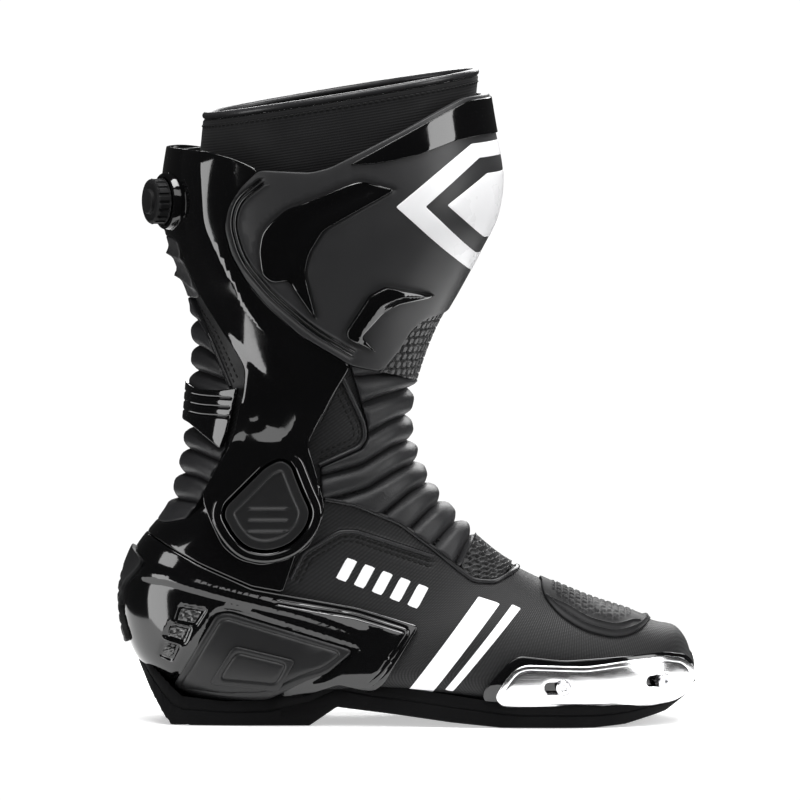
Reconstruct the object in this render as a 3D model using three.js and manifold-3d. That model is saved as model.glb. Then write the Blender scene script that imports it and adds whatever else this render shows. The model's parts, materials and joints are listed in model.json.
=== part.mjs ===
// Right-foot motorcycle racing boot, in millimetres: +X towards the toe, -Y the outer side, +Z up.
// The boot's form is one loft. Its sections fan from level cuts through the leg, round the heel,
// to upright cuts through the toes. Every panel is a layer of that form, cut to a side-view outline.
import * as THREE from "three";
import { mergeVertices } from "three/addons/utils/BufferGeometryUtils.js";
import Module from "manifold-3d";

const wasm = await Module();
wasm.setup();

// ---- Driving dimensions

// One row for each section of the form, from the top of the shaft to the toe tip:
// front x, front z, rear x, rear z, outer half-width, inner half-width, sideways shift,
// place of the widest point (0 front to 1 rear), and how square the front and rear curves are.
const SECTIONS = [
  [39, 338.5, -125.5, 307.5, 60, 58, 0, 0.5, 2.1, 2.1],
  [42.5, 317.5, -128, 290.5, 61.5, 57, 0, 0.5, 2.1, 2.1],
  [47, 293, -128.5, 273.5, 62, 56, 0, 0.5, 2.1, 2.1],
  [44.5, 272, -125, 257, 61, 55, 0, 0.5, 2.1, 2.1],
  [35, 252, -119.5, 241.5, 58, 53.5, 0, 0.5, 2.1, 2.1],
  [24.5, 232.5, -114, 226.5, 54, 51.5, 0, 0.5, 2.1, 2.1],
  [13.5, 213, -112.5, 210.5, 50, 49.5, 0, 0.5, 2.1, 2.1],
  [5.5, 193, -112.5, 193, 46.5, 47.5, 0, 0.5, 2.1, 2.1],
  [0.5, 174, -114, 175.5, 44, 45.5, 0, 0.5, 2.1, 2.1],
  [0, 155.5, -116, 155.5, 42.5, 43.5, 0, 0.5, 2.15, 2.15],
  [5, 137.5, -120, 133, 42, 42, 0, 0.52, 2.2, 2.2],
  [14, 122, -127, 112, 42, 41.5, 0, 0.54, 2.2, 2.3],
  [25.5, 108, -143.5, 89.5, 41.5, 41, 0, 0.56, 2.2, 2.4],
  [38, 96.5, -149.5, 63, 41, 41, 0, 0.58, 2.2, 2.5],
  [50, 87, -139.5, 32.5, 42, 41.5, 0, 0.6, 2.2, 2.7],
  [62.5, 80, -102.5, 13, 44, 43.5, 0, 0.62, 2.2, 3],
  [79.5, 72, -20, 16, 47.5, 47, 0, 0.66, 2.3, 3.3],
  [99, 64, 47, 9.5, 50.5, 50, 0, 0.68, 2.3, 3.5],
  [117, 58, 98, 8.5, 47.5, 48, 2, 0.68, 2.3, 3.5],
  [132.5, 52.5, 127.5, 10, 38.5, 39, 4, 0.66, 2.3, 3.2],
  [143, 50, 143, 13.5, 27.5, 28, 6.5, 0.62, 2.3, 2.8],
  [149, 43.5, 149, 16, 16.5, 17, 8, 0.56, 2.2, 2.4],
  [152, 35.5, 152, 19.5, 6.5, 7, 8.5, 0.5, 2.1, 2.1],
];
const RINGS = 22; // sections sampled along the form
const SPOKES = 16; // points round each section
const TOP_LIFT = 14; // how far a cutting core runs out of the shaft's top
const TOE_BULGE = 1; // the toe tip stands this far ahead of the last section

// Layers, as distances out from the form: [inside, outside].
const LINER = [-6, -3.3];
const UPPER = [-3, 0];
const BELLOWS = [-3, 2.4];
const ARMOUR = [0.3, 3.1];
const SHIN = [0.3, 4.3];
const OVER = [3.4, 5.2];
const BADGE = [5.5, 6.7];
const SLIDER_BASE = [0.3, 4];
const SLIDER_PLATE = [4.3, 6.3];
const TRIM = 0.2; // each outline is drawn in by this, so neighbours stand 0.4 mm apart
const FAR = 200; // beyond the object on every side

// The ankle pivot and the flat plates stacked on it, as distances out along -Y.
const PIVOT = { x: -76, z: 115 };
const BOSS = { r: 24, face: 45.6 };
const WEB = { inner: 46, outer: 47.6 };
const RING_FACE = 51;
const CAP = { inner: 49.8, outer: 52.6 };
const BOLT = { r: 4.9, headR: 8, root: 40, head: 47.9, face: 49.4 };
const BUSH = { inner: 5.25, outer: 7 };

// The closure dial behind the calf.
const DIAL = { x: -124.6, y: -19.4, z: 279, yaw: 25, flangeR: 15.5, knobR: 12, spoolR: 4 };

// The zip on the inner side runs along one straight line.
const ZIP = { top: [-31, 301], foot: [-44, 172], tape: 12, rail: 2.4, railTop: 5 };
const SLIDER = { start: 2, length: 14, width: 10, height: 3.6 };
const PULL = { length: 24, half: 3.4, thick: 1.2 };

// ---- The form

const columns = SECTIONS[0].length;

// The section at s, a whole number of rows or between two, by a Catmull-Rom curve through the rows.
function section(s) {
  const last = SECTIONS.length - 1;
  const i = Math.min(Math.floor(s), last - 1);
  const t = s - i;
  const rows = [i - 1, i, i + 1, i + 2].map((k) => SECTIONS[THREE.MathUtils.clamp(k, 0, last)]);
  const out = [];
  for (let c = 0; c < columns; c++) {
    const [a, b, d, e] = rows.map((r) => r[c]);
    out.push(
      b + 0.5 * t * (d - a + t * (2 * a - 5 * b + 4 * d - e + t * (3 * (b - d) + e - a))),
    );
  }
  return out;
}

// The point at section s and angle a, where 0 is the front, 90 degrees the outer side, 180 the rear.
function formPoint(s, a) {
  const [fx, fz, rx, rz, outer, inner, shift, widest, roundFront, roundRear] = section(s);
  const c = Math.cos(a);
  const sn = Math.sin(a);
  const power = 2 / (c > 0 ? roundFront : roundRear);
  const along = Math.sign(c) * Math.abs(c) ** power;
  const across = Math.abs(sn) ** power;
  const t = c > 0 ? widest * (1 - along) : widest - (1 - widest) * along;
  const y = shift + (sn >= 0 ? -outer : inner) * across;
  return new THREE.Vector3(fx + (rx - fx) * t, y, fz + (rz - fz) * t);
}

function formNormal(s, a) {
  const last = SECTIONS.length - 1;
  const ds = 0.04;
  const da = 0.05;
  const down = formPoint(Math.min(s + ds, last), a).sub(formPoint(Math.max(s - ds, 0), a));
  const round = formPoint(s, a + da).sub(formPoint(s, a - da));
  return round.cross(down).normalize();
}

// The filled form, grown by a distance. With lift its top is raised, so that as a core it cuts an open mouth.
function envelope(distance, lift = 0) {
  const last = SECTIONS.length - 1;
  const rings = [];
  for (let i = 0; i <= RINGS; i++) {
    const s = (last * i) / RINGS;
    const ring = [];
    for (let j = 0; j < SPOKES; j++) {
      const a = (2 * Math.PI * j) / SPOKES;
      ring.push(formPoint(s, a).addScaledVector(formNormal(s, a), distance));
    }
    rings.push(ring);
  }
  if (lift) rings.unshift(rings[0].map((p) => p.clone().add(new THREE.Vector3(0, 0, lift))));
  return closedLoft(rings, TOE_BULGE + distance);
}

// A solid through rings of equally many points, closed flat at the first and to a low point at the last.
function closedLoft(rings, bulge = 0) {
  const n = rings[0].length;
  const middle = (ring) => ring.reduce((m, p) => m.add(p), new THREE.Vector3()).divideScalar(n);
  const points = rings.flat();
  const start = points.push(middle(rings[0])) - 1;
  const end = points.push(middle(rings.at(-1)).add(new THREE.Vector3(bulge, 0, 0))) - 1;
  const faces = [];
  for (let i = 0; i < rings.length - 1; i++) {
    for (let j = 0; j < n; j++) {
      const k = (j + 1) % n;
      const [p, q, r, t] = [i * n + j, i * n + k, (i + 1) * n + j, (i + 1) * n + k];
      faces.push(p, q, t, p, t, r);
    }
  }
  const base = (rings.length - 1) * n;
  for (let j = 0; j < n; j++) {
    const k = (j + 1) % n;
    faces.push(start, k, j, end, base + j, base + k);
  }
  return manifoldOf(points, faces);
}

function manifoldOf(points, faces) {
  const vertProperties = new Float32Array(points.flatMap((p) => [p.x, p.y, p.z]));
  const mesh = { numProp: 3, vertProperties, triVerts: new Uint32Array(faces) };
  const made = new wasm.Manifold(new wasm.Mesh(mesh));
  if (made.volume() > 0) return made;
  const turned = new Uint32Array(faces);
  for (let i = 0; i < turned.length; i += 3) [turned[i], turned[i + 1]] = [turned[i + 1], turned[i]];
  return new wasm.Manifold(new wasm.Mesh({ ...mesh, triVerts: turned }));
}

const envelopes = new Map();
function grown(distance, lift = 0) {
  const key = `${distance}/${lift}`;
  if (!envelopes.has(key)) envelopes.set(key, envelope(distance, lift));
  return envelopes.get(key);
}

// The open-topped shell between two distances from the form.
function layer([inside, outside]) {
  return grown(outside).subtract(grown(inside, TOP_LIFT));
}

// ---- Outlines and solids

// Turns a three.js geometry, moved into place, into a solid.
function solid(geometry, matrix = new THREE.Matrix4()) {
  const bare = geometry.index ? geometry.toNonIndexed() : geometry.clone();
  bare.deleteAttribute("normal");
  bare.deleteAttribute("uv");
  const merged = mergeVertices(bare.applyMatrix4(matrix), 1e-4);
  const p = merged.attributes.position;
  const points = Array.from({ length: p.count }, (_, i) => new THREE.Vector3().fromBufferAttribute(p, i));
  return manifoldOf(points, Array.from(merged.index.array));
}

// The outline drawn in by a distance, side by side parallel to itself.
function inset(points, distance) {
  const area = points.reduce((sum, [x, z], i) => {
    const [nx, nz] = points[(i + 1) % points.length];
    return sum + x * nz - nx * z;
  }, 0);
  const turn = Math.sign(area);
  return points.map((p, i) => {
    const before = points[(i + points.length - 1) % points.length];
    const after = points[(i + 1) % points.length];
    const side = (a, b) => {
      const length = Math.hypot(b[0] - a[0], b[1] - a[1]);
      return [(-turn * (b[1] - a[1])) / length, (turn * (b[0] - a[0])) / length];
    };
    const [m, n] = [side(before, p), side(p, after)];
    const reach = distance / Math.max(0.4, 1 + m[0] * n[0] + m[1] * n[1]);
    return [p[0] + (m[0] + n[0]) * reach, p[1] + (m[1] + n[1]) * reach];
  });
}

// A shape through side-view points [x, z], with its corners rounded.
function rounded(points, radius) {
  const shape = new THREE.Shape();
  points.forEach(([x, z], i) => {
    const [bx, bz] = points[(i + points.length - 1) % points.length];
    const [ax, az] = points[(i + 1) % points.length];
    const before = Math.hypot(bx - x, bz - z);
    const after = Math.hypot(ax - x, az - z);
    const r = Math.min(radius, before * 0.45, after * 0.45);
    const from = [x + ((bx - x) * r) / before, z + ((bz - z) * r) / before];
    const to = [x + ((ax - x) * r) / after, z + ((az - z) * r) / after];
    if (i === 0) shape.moveTo(...from);
    else shape.lineTo(...from);
    if (r > 0) shape.quadraticCurveTo(x, z, ...to);
  });
  shape.closePath();
  return shape;
}

// A side-view shape pushed from y0 to y1.
function prism(shape, y0 = -FAR, y1 = FAR, curveSegments = 1) {
  const geometry = new THREE.ExtrudeGeometry(shape, { depth: y1 - y0, bevelEnabled: false, curveSegments });
  const matrix = new THREE.Matrix4().makeTranslation(0, y1, 0);
  return solid(geometry, matrix.multiply(new THREE.Matrix4().makeRotationX(Math.PI / 2)));
}

const BOTH = [-FAR, FAR];
const OUTER_SIDE = [-FAR, 0];
const INNER_SIDE = [0, FAR];

// A panel: a layer of the form cut to a side-view outline, on one side or both.
function panel(distances, points, side = BOTH, radius = 2) {
  return layer(distances).intersect(prism(rounded(inset(points, TRIM), radius), ...side));
}

// A box between two corners.
function box(low, high) {
  const size = high.map((v, i) => v - low[i]);
  const centre = high.map((v, i) => (v + low[i]) / 2);
  return solid(new THREE.BoxGeometry(...size), new THREE.Matrix4().makeTranslation(...centre));
}

// A round bar along -Y at the pivot, between two distances out.
function pivotDisc(r, inner, outer, segments = 24) {
  const turn = new THREE.Matrix4().makeTranslation(PIVOT.x, -(inner + outer) / 2, PIVOT.z);
  return solid(new THREE.CylinderGeometry(r, r, outer - inner, segments), turn);
}

// A lathe profile of [radius, height] turned about an axis from a point.
function turned(profile, origin, axis, segments = 28) {
  const geometry = new THREE.LatheGeometry(
    profile.map(([r, h]) => new THREE.Vector2(r, h)),
    segments,
  );
  const toAxis = new THREE.Quaternion().setFromUnitVectors(new THREE.Vector3(0, 1, 0), axis);
  return solid(geometry, new THREE.Matrix4().compose(origin, toAxis, new THREE.Vector3(1, 1, 1)));
}

// ---- Materials

const finish = (color, roughness, metalness = 0) =>
  new THREE.MeshStandardMaterial({ color, roughness, metalness });
const leather = finish(0x1c1c1d, 0.55);
const textile = finish(0x161617, 0.8);
const gloss = finish(0x060607, 0.12);
const satin = finish(0x2b2b2d, 0.45);
const rubber = finish(0x141415, 0.7);
const steel = finish(0xd9dadb, 0.18, 1);
const lining = finish(0x222223, 0.95);
const foam = finish(0x2e2e30, 0.9);

const boot = new THREE.Group();

function add(name, made, material) {
  const { numProp, numVert, vertProperties, triVerts } = made.getMesh();
  const position = new Float32Array(numVert * 3);
  for (let i = 0; i < numVert; i++) {
    position.set(vertProperties.subarray(i * numProp, i * numProp + 3), i * 3);
  }
  const geometry = new THREE.BufferGeometry();
  geometry.setAttribute("position", new THREE.BufferAttribute(position, 3));
  geometry.setIndex(new THREE.BufferAttribute(triVerts, 1));
  geometry.computeVertexNormals();
  const mesh = new THREE.Mesh(geometry, material);
  mesh.name = name;
  boot.add(mesh);
}

// ---- Foot: sole, footbed and shank

const SOLE_SIDE = [
  [-143.5, 38], [-127.5, 22], [-120, 15.5], [-96.5, 13], [-74.5, 14], [-55, 22], [-36.5, 27.5],
  [-18, 23], [1, 20.5], [38.5, 15], [60.5, 12], [103.5, 11.5], [135.5, 14.5], [152, 21.5],
  [153.5, 20], [149.5, 14], [138, 7], [116, 1.5], [100, 0], [50, 0], [23, 2.5], [-3.5, 6],
  [-37.5, 10], [-52, 0], [-126, 0], [-130, 5], [-137.5, 18.5],
];
// Half-widths of the sole's outline in plan: x, outer side, inner side.
const SOLE_PLAN = [
  [-146, 0, 0], [-143, 14, 14], [-134, 27, 27], [-118, 35.5, 35.5], [-90, 38.5, 38.5],
  [-50, 38, 37], [-10, 41.5, 38], [30, 48, 44], [60, 52, 49], [90, 52, 51.5], [115, 45.5, 50.5],
  [133, 32.5, 44], [146, 15, 31], [153, -2, 17], [154.5, -9, 9],
];

// The block the sole is cut from, its side view standing on its plan, grown by a margin.
function soleBlock(margin) {
  const outer = SOLE_PLAN.map(([x, y]) => [x, -y]);
  const inner = SOLE_PLAN.map(([x, , y]) => [x, y]).slice(1, -1).reverse();
  const outline = inset([...outer, ...inner], -margin).map((p) => new THREE.Vector2(...p));
  const plan = new THREE.ExtrudeGeometry(new THREE.Shape(outline), { depth: FAR, bevelEnabled: false });
  const stand = new THREE.Matrix4().makeTranslation(0, 0, -margin);
  return prism(rounded(inset(SOLE_SIDE, -margin), 1.5)).intersect(solid(plan, stand));
}

const SHANK = { rear: -80, front: 24, half: 9, thick: 1.5 };

function shankBlock(margin) {
  return box(
    [SHANK.rear - margin, -SHANK.half - margin, 0],
    [SHANK.front + margin, SHANK.half + margin, 20],
  );
}

const nearSole = soleBlock(0.3);
const shankPocket = grown(2.1).intersect(shankBlock(0.3));
add("outsole", soleBlock(0).subtract(grown(0.3)).subtract(shankPocket), rubber);
add("sole_shank", layer([0.3, 0.3 + SHANK.thick]).intersect(shankBlock(0)), steel);
const FOOTBED = [[-150, -5], [150, -5], [150, 22], [50, 20.5], [-20, 26.5], [-100, 23.5], [-150, 26.5]];
add("footbed", grown(-6.3).intersect(prism(rounded(FOOTBED, 4))), foam);

// ---- Foot: upper

// The line where the foot ends and the ankle's flexible parts begin, from the rear to the instep.
const FOOT_TOP = [
  [-170, 104], [-128, 104], [-106, 110], [-80, 113], [-45.5, 121.5], [-28, 118.5], [-5, 108],
  [13.5, 94], [27.6, 83], [35, 75.8], [49, 75.8], [60, 87], [75, 110],
];
const VAMP_SEAM = 20; // where the vamp meets the two quarters under the arch
const vampOutline = [[13.5, 94], ...FOOT_TOP.slice(8), [170, 90], [170, -5], [VAMP_SEAM, -5], [2, 60]];
const quarterOutline = [...FOOT_TOP.slice(0, 8), [2, 60], [VAMP_SEAM, -5], [-170, -5]];
add("vamp", panel(UPPER, vampOutline), textile);
const QUARTER_SPLIT = 0.2; // half the gap at the heel seam
add("quarter_outer", panel(UPPER, quarterOutline, [-FAR, -QUARTER_SPLIT]), textile);
add("quarter_inner", panel(UPPER, quarterOutline, [QUARTER_SPLIT, FAR]), textile);
const hexOutline = [[37, 101.5], [28.1, 83.9], [35.4, 76.6], [48.6, 76.6], [59.2, 87.2], [52, 110]];
add("instep_hex_panel", panel([-3, 0.4], hexOutline), rubber);

const footLining = [...FOOT_TOP.slice(0, 7), [27, 83], [60, 87], [170, 90], [170, -5], [-170, -5]];
add("lining_foot", panel(LINER, footLining), lining);

// ---- Foot: heel armour

const CUP = [
  [-165, 100], [-139, 100], [-131.5, 97], [-110, 86], [-82.5, 74], [-66.5, 71], [-27, 63.5],
  [6.5, 53], [-11, 25.5], [-18, 24.5], [-36.5, 29], [-55, 23.5], [-74.5, 15.5], [-96.5, 14.5],
  [-120, 17], [-127.5, 23.5], [-143.5, 39.5], [-165, 39.5],
];
add("heel_cup", panel(ARMOUR, CUP).subtract(nearSole), gloss);

const YOKE = [
  [-165, 105.5], [-127.5, 105.5], [-116, 108.5], [-104.5, 119.5], [-57, 119.5], [-45.5, 108.5],
  [-59.5, 91.5], [-66, 71.6], [-82.5, 74.6], [-110, 86.6], [-131.5, 97.6], [-139, 100.6], [-165, 100.6],
];
const boss = pivotDisc(BOSS.r, 30, BOSS.face).subtract(grown(0.3));
const yokeOuter = panel(ARMOUR, YOKE).add(boss);
add("heel_yoke", yokeOuter.subtract(pivotDisc(BOLT.r + 0.3, 30, 60, 24)), gloss);

const SIDE_PANEL = [
  [-101, 60], [-94.5, 61], [-28, 40.5], [-42, 29], [-55, 25], [-74.5, 17], [-96.5, 16], [-119, 18.5],
  [-123, 23],
];
const WINDOW = [[-91.5, 43.5], [-59, 35.5], [-67.5, 21.5], [-104, 24.5]];
const VENTS = [
  [[-120, 64], [-107, 62], [-112, 54], [-122.5, 56]],
  [[-125, 54.5], [-115, 52.5], [-118, 45], [-127.5, 48]],
  [[-128.5, 44], [-121, 42.5], [-124, 36], [-130, 38.5]],
];
const BUMPER = [
  [-165, 93.5], [-145.5, 94], [-138, 86.5], [-139, 83.5], [-147.5, 73.5], [-149.5, 63.5], [-148, 55],
  [-144.5, 43.5], [-165, 43.5],
];
add("heel_side_panel_outer", panel(OVER, SIDE_PANEL, OUTER_SIDE), satin);
add("heel_side_panel_inner", panel(OVER, SIDE_PANEL, INNER_SIDE), satin);
add("heel_panel_badge", panel(BADGE, WINDOW, OUTER_SIDE), gloss);
["top", "middle", "bottom"].forEach((place, i) => {
  add(`heel_vent_${place}`, panel([3.4, 4.4], VENTS[i], OUTER_SIDE, 0.8), gloss);
});
add("heel_bumper", panel([3.4, 6], BUMPER, BOTH, 3), rubber);

// ---- Foot: toe

const TOE_PAD = [
  [71.5, 110], [71.5, 69], [81.5, 58], [94.5, 50.5], [110.5, 46.5], [122, 48.5], [132, 54.5], [140, 80],
];
add("toe_shift_pad", panel([0.3, 2.4], TOE_PAD, BOTH, 6), rubber);

const TOE_BASE = [
  [40, 20], [54, 35], [59.5, 38], [83.5, 35.5], [138, 37.5], [149.5, 33], [165, 27.5], [165, 18],
  [135.5, 14.9], [103.5, 12], [60.5, 12.5], [42.5, 15],
];
const TOE_PLATE = [
  [47, 19], [57, 31.5], [63.5, 33.5], [94.5, 32.5], [132.5, 36], [144, 35.5], [149.5, 29.5],
  [149.5, 20], [141, 16.5], [116, 13.5], [94.5, 13], [57, 14], [50, 16],
];
const SLOTS = { rear: [72.5, 85.5, 22.5], front: [124.5, 135.5, 24.5], half: 2.6 };
const SCREW = { r: 4, shank: 1.9, foot: 1.2, head: 6.6, top: 8.6 };

// A slot with round ends, seen from the side, cut right through the outer half.
function slot([rear, front, z]) {
  const shape = new THREE.Shape();
  shape.absarc(front - SLOTS.half, z, SLOTS.half, -Math.PI / 2, Math.PI / 2);
  shape.absarc(rear + SLOTS.half, z, SLOTS.half, Math.PI / 2, (3 * Math.PI) / 2);
  shape.closePath();
  return prism(shape, -FAR, 0, 5);
}

// The form's point and outward direction at a side-view point, found by stepping over its surface.
function onForm(x, z, innerSide = false) {
  let best = { miss: Infinity };
  const last = SECTIONS.length - 1;
  for (let i = 0; i <= 440; i++) {
    for (let j = 1; j < 120; j++) {
      const [s, a] = [(last * i) / 440, ((innerSide ? -1 : 1) * (Math.PI * j)) / 120];
      const p = formPoint(s, a);
      const miss = Math.hypot(p.x - x, p.z - z);
      if (miss < best.miss) best = { miss, point: p, normal: formNormal(s, a) };
    }
  }
  return best;
}

const toeBase = panel(SLIDER_BASE, TOE_BASE, OUTER_SIDE, 3).subtract(nearSole);
let toePlate = panel(SLIDER_PLATE, TOE_PLATE, OUTER_SIDE, 3).subtract(nearSole);
let toeBaseCut = toeBase;
for (const place of ["rear", "front"]) {
  const [, end, z] = SLOTS[place];
  const { point, normal } = onForm(end - SLOTS.half - 0.2, z);
  const stem = [[0, SCREW.foot], [SCREW.shank, SCREW.foot], [SCREW.shank, SCREW.head]];
  const head = [[SCREW.r, SCREW.head], [SCREW.r, SCREW.top - 0.6], [SCREW.r - 0.6, SCREW.top], [0, SCREW.top]];
  add(`toe_slider_screw_${place}`, turned([...stem, ...head], point, normal, 20), steel);
  const room = SCREW.shank + 0.4;
  const hole = turned([[0, -5], [room, -5], [room, 12], [0, 12]], point, normal, 20);
  toeBaseCut = toeBaseCut.subtract(hole);
  toePlate = toePlate.subtract(slot(SLOTS[place])).subtract(hole);
}
add("toe_slider_base", toeBaseCut, gloss);
add("toe_slider_plate", toePlate, steel);

// ---- Ankle: the parts that bend as the shaft leans

const SHIN_FOOT = [[-30.5, 193.5], [-16, 190], [5, 183], [70, 183]];
const FRONT_EDGE = [SHIN_FOOT[0], [-22, 162], [-21, 154], [-24.4, 147.5], [-46, 138], [-45.5, 121.5]];
const REAR_EDGE = [[-106, 110], [-108, 122], [-96, 147], [-93, 179]];
const frontBellows = [
  ...[...SHIN_FOOT].reverse(), ...FRONT_EDGE.slice(1), [-28, 118.5], [-5, 108], [13.5, 94], [27.6, 83.4],
  [37, 101.5], [52, 110], [70, 130],
];
add("front_bellows", panel(BELLOWS, frontBellows, BOTH, 1.5), leather);
const rearBellows = [[-160, 105.9], [-127.5, 105.9], [-116, 109], ...REAR_EDGE.slice(1), [-113, 227], [-160, 227]];
add("rear_bellows", panel(BELLOWS, rearBellows, BOTH, 1.5).subtract(yokeOuter), leather);
const SHAFT_FOOT = [[-93, 179], [-70, 162], [-46, 162], ...SHIN_FOOT];
const anklePanel = [...SHAFT_FOOT.slice(0, 3), ...FRONT_EDGE, [-80, 113], ...REAR_EDGE.slice(0, 3)];
add("ankle_panel_outer", panel(UPPER, anklePanel, OUTER_SIDE, 1), leather);
add("ankle_panel_inner", panel(UPPER, anklePanel, INNER_SIDE, 1), leather);
const ankleLining = [
  [-160, 104], [-128, 104], [-106, 110], [-80, 113], [-45.5, 121.5], [-28, 118.5], [-5, 108], [27, 83],
  [60, 87], ...[...SHAFT_FOOT].reverse(), [-113, 227], [-160, 227],
];
add("lining_ankle", panel(LINER, ankleLining, BOTH, 1), lining);

// ---- Shaft: leather, lining and collar

const shaftBelow = [...[...SHAFT_FOOT].reverse(), [-113, 227], [-160, 227]];
const OUTER_TOP = [[-160, 304], [-100, 303], [-77, 293], [-51, 292], [-25, 303], [17, 326], [70, 332]];
const INNER_TOP = [[-160, 304], [-100, 306], [-70, 311], [-30, 322], [17, 332], [70, 332]];
const shaftOuter = panel(UPPER, [...OUTER_TOP, ...shaftBelow], [-FAR, 0.01], 1);
const shaftInner = panel(UPPER, [...INNER_TOP, ...shaftBelow], [-0.01, FAR], 1);
add("shaft_shell", shaftOuter.add(shaftInner), leather);
const shaftLining = [[-160, 268], [70, 297], ...shaftBelow];
add("lining_shaft", panel(LINER, shaftLining, BOTH, 1), lining);

// Rings of the collar, from its rim down into the shaft: front x, front z, rear x, rear z, half-width.
const COLLAR = [
  [38, 345.5, -109, 321.5, 53],
  [36.5, 330, -110.5, 306, 53],
  [38.5, 315, -113, 291, 52.4],
  [39, 301, -115, 275, 50.5],
];
const COLLAR_THICKNESS = 3;
const PIPING_R = 1.9;

function collarRing(i, inward) {
  const [fx, fz, rx, rz, half] = COLLAR[i];
  const [cx, cz] = [(fx + rx) / 2, (fz + rz) / 2];
  const reach = Math.hypot(fx - rx, fz - rz) / 2;
  const [ux, uz] = [(fx - cx) / reach, (fz - cz) / reach];
  return Array.from({ length: SPOKES }, (_, j) => {
    const a = (2 * Math.PI * j) / SPOKES;
    const out = Math.cos(a) * (reach - inward);
    return new THREE.Vector3(cx + ux * out, -Math.sin(a) * (half - inward), cz + uz * out);
  });
}

// A solid from rings of points whose last ring meets the first again.
function loopLoft(rings) {
  const n = rings[0].length;
  const faces = [];
  rings.forEach((_, i) => {
    const next = (i + 1) % rings.length;
    for (let j = 0; j < n; j++) {
      const k = (j + 1) % n;
      const [p, q, r, t] = [i * n + j, i * n + k, next * n + j, next * n + k];
      faces.push(p, q, t, p, t, r);
    }
  });
  return manifoldOf(rings.flat(), faces);
}

const down = COLLAR.map((_, i) => collarRing(i, 0));
const up = COLLAR.map((_, i) => collarRing(i, COLLAR_THICKNESS)).reverse();
add("collar", loopLoft([...down, ...up]), textile);

function piping() {
  const sides = 8;
  const rise = PIPING_R + 0.3;
  return loopLoft(
    Array.from({ length: sides }, (_, i) => {
      const b = (2 * Math.PI * i) / sides;
      const inward = COLLAR_THICKNESS / 2 - PIPING_R * Math.cos(b);
      return collarRing(0, inward).map((p) => p.setZ(p.z + rise + PIPING_R * Math.sin(b)));
    }),
  );
}
add("collar_piping", piping(), leather);

// ---- Shaft: calf guard and ankle brace

const SHIN_SEAM = [
  [-77.5, 297], [-86.5, 288], [-93, 277], [-95, 266.5], [-91.5, 253], [-84, 239.5], [-73.5, 226.5],
  [-57, 210.5], [-41, 200.5], [-30.5, 193.5],
];
const GUARD = [
  [-165, 306.5], [-119, 307], [-102.5, 306], [-89.5, 302.5], ...SHIN_SEAM, [-41, 175.5], [-53, 151.5],
  [-91.5, 157], [-86, 178], [-85, 191], [-89.5, 199.5], [-99, 214.5], [-107, 227.5], [-116, 246.5],
  [-120.5, 260.5], [-165, 260.5],
];
const RING = [
  [-53, 151.5], [-48.5, 136.5], [-44, 119.5], [-44.5, 112], [-52, 96.5], [-63.5, 89.5], [-77.5, 86.5],
  [-89.5, 89.5], [-98, 96.5], [-104.5, 110], [-108.5, 121], [-108, 126.5], [-102.5, 136.5],
  [-96, 147.5], [-91.5, 157],
];
const CAP_OUTLINE = [
  [-67, 143], [-62, 140], [-56, 124.5], [-51.5, 115], [-54.5, 106.5], [-62.5, 98], [-74.5, 94.5],
  [-85, 96.5], [-92, 103.5], [-97, 113], [-96, 118], [-86.5, 127.5], [-74.5, 139.5],
];

function brace() {
  const upper = panel(ARMOUR, GUARD, OUTER_SIDE);
  const arm = [[-53, 151.5], [-45, 168], [-86, 176], [-91.5, 157], [-96, 147.5], [-87, 143], [-52, 143]];
  const link = prism(rounded(inset(arm, TRIM), 1), -RING_FACE, -20).subtract(grown(0.3));
  const plate = prism(rounded(inset(RING, TRIM), 2), -RING_FACE, -WEB.inner);
  const pocket = prism(rounded(inset(CAP_OUTLINE, -0.4), 2), -FAR, -WEB.outer);
  const bore = pivotDisc(BUSH.outer + 0.3, 30, 60);
  return upper.add(link).add(plate.subtract(pocket).subtract(bore));
}

const dialAxis = new THREE.Vector3(
  -Math.cos(THREE.MathUtils.degToRad(DIAL.yaw)),
  -Math.sin(THREE.MathUtils.degToRad(DIAL.yaw)),
  0,
);
const dialSeat = new THREE.Vector3(DIAL.x, DIAL.y, DIAL.z);
const dialRoom = turned([[0, -20], [DIAL.flangeR + 0.5, -20], [DIAL.flangeR + 0.5, 20], [0, 20]], dialSeat, dialAxis);

add("ankle_brace", brace().subtract(dialRoom), gloss);
const INNER_GUARD = [
  [-165, 306.5], [-119, 307], [-100, 304], [-76, 297], [-66, 280], [-66, 245], [-82, 218], [-96, 214],
  [-107, 227.5], [-120.5, 260.5], [-165, 260.5],
];
add("calf_guard_inner", panel(ARMOUR, INNER_GUARD, [0.4, FAR], 4).subtract(dialRoom), gloss);
const REAR_PLATE = [[-165, 260.1], [-120.9, 260.1], [-116.4, 246.5], [-107.8, 228], [-165, 228]];
add("calf_rear_plate", panel(ARMOUR, REAR_PLATE, BOTH, 3).subtract(dialRoom), satin);
const BAND = [[-165, 182.5], [-117.5, 182.5], [-108, 178.5], [-97.5, 179], [-88, 181], [-94, 156], [-97, 147.5], [-112, 160], [-117.5, 162], [-165, 162]];
add("achilles_band", panel([2.7, 5.2], BAND, BOTH, 1.5).subtract(grown(2.7)), gloss);
add("pivot_bush", pivotDisc(BUSH.outer, WEB.inner, WEB.outer, 24).subtract(pivotDisc(BUSH.inner, 30, 60, 24)), steel);
const bolt = pivotDisc(BOLT.r, BOLT.root, BOLT.head, 24).add(pivotDisc(BOLT.headR, BOLT.head, BOLT.face, 24));
add("pivot_bolt", bolt.subtract(grown(0.3)), steel);
add("pivot_cap", prism(rounded(CAP_OUTLINE, 2), -CAP.outer, -CAP.inner), satin);

// ---- Shaft: shin plate and what is set on it

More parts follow.
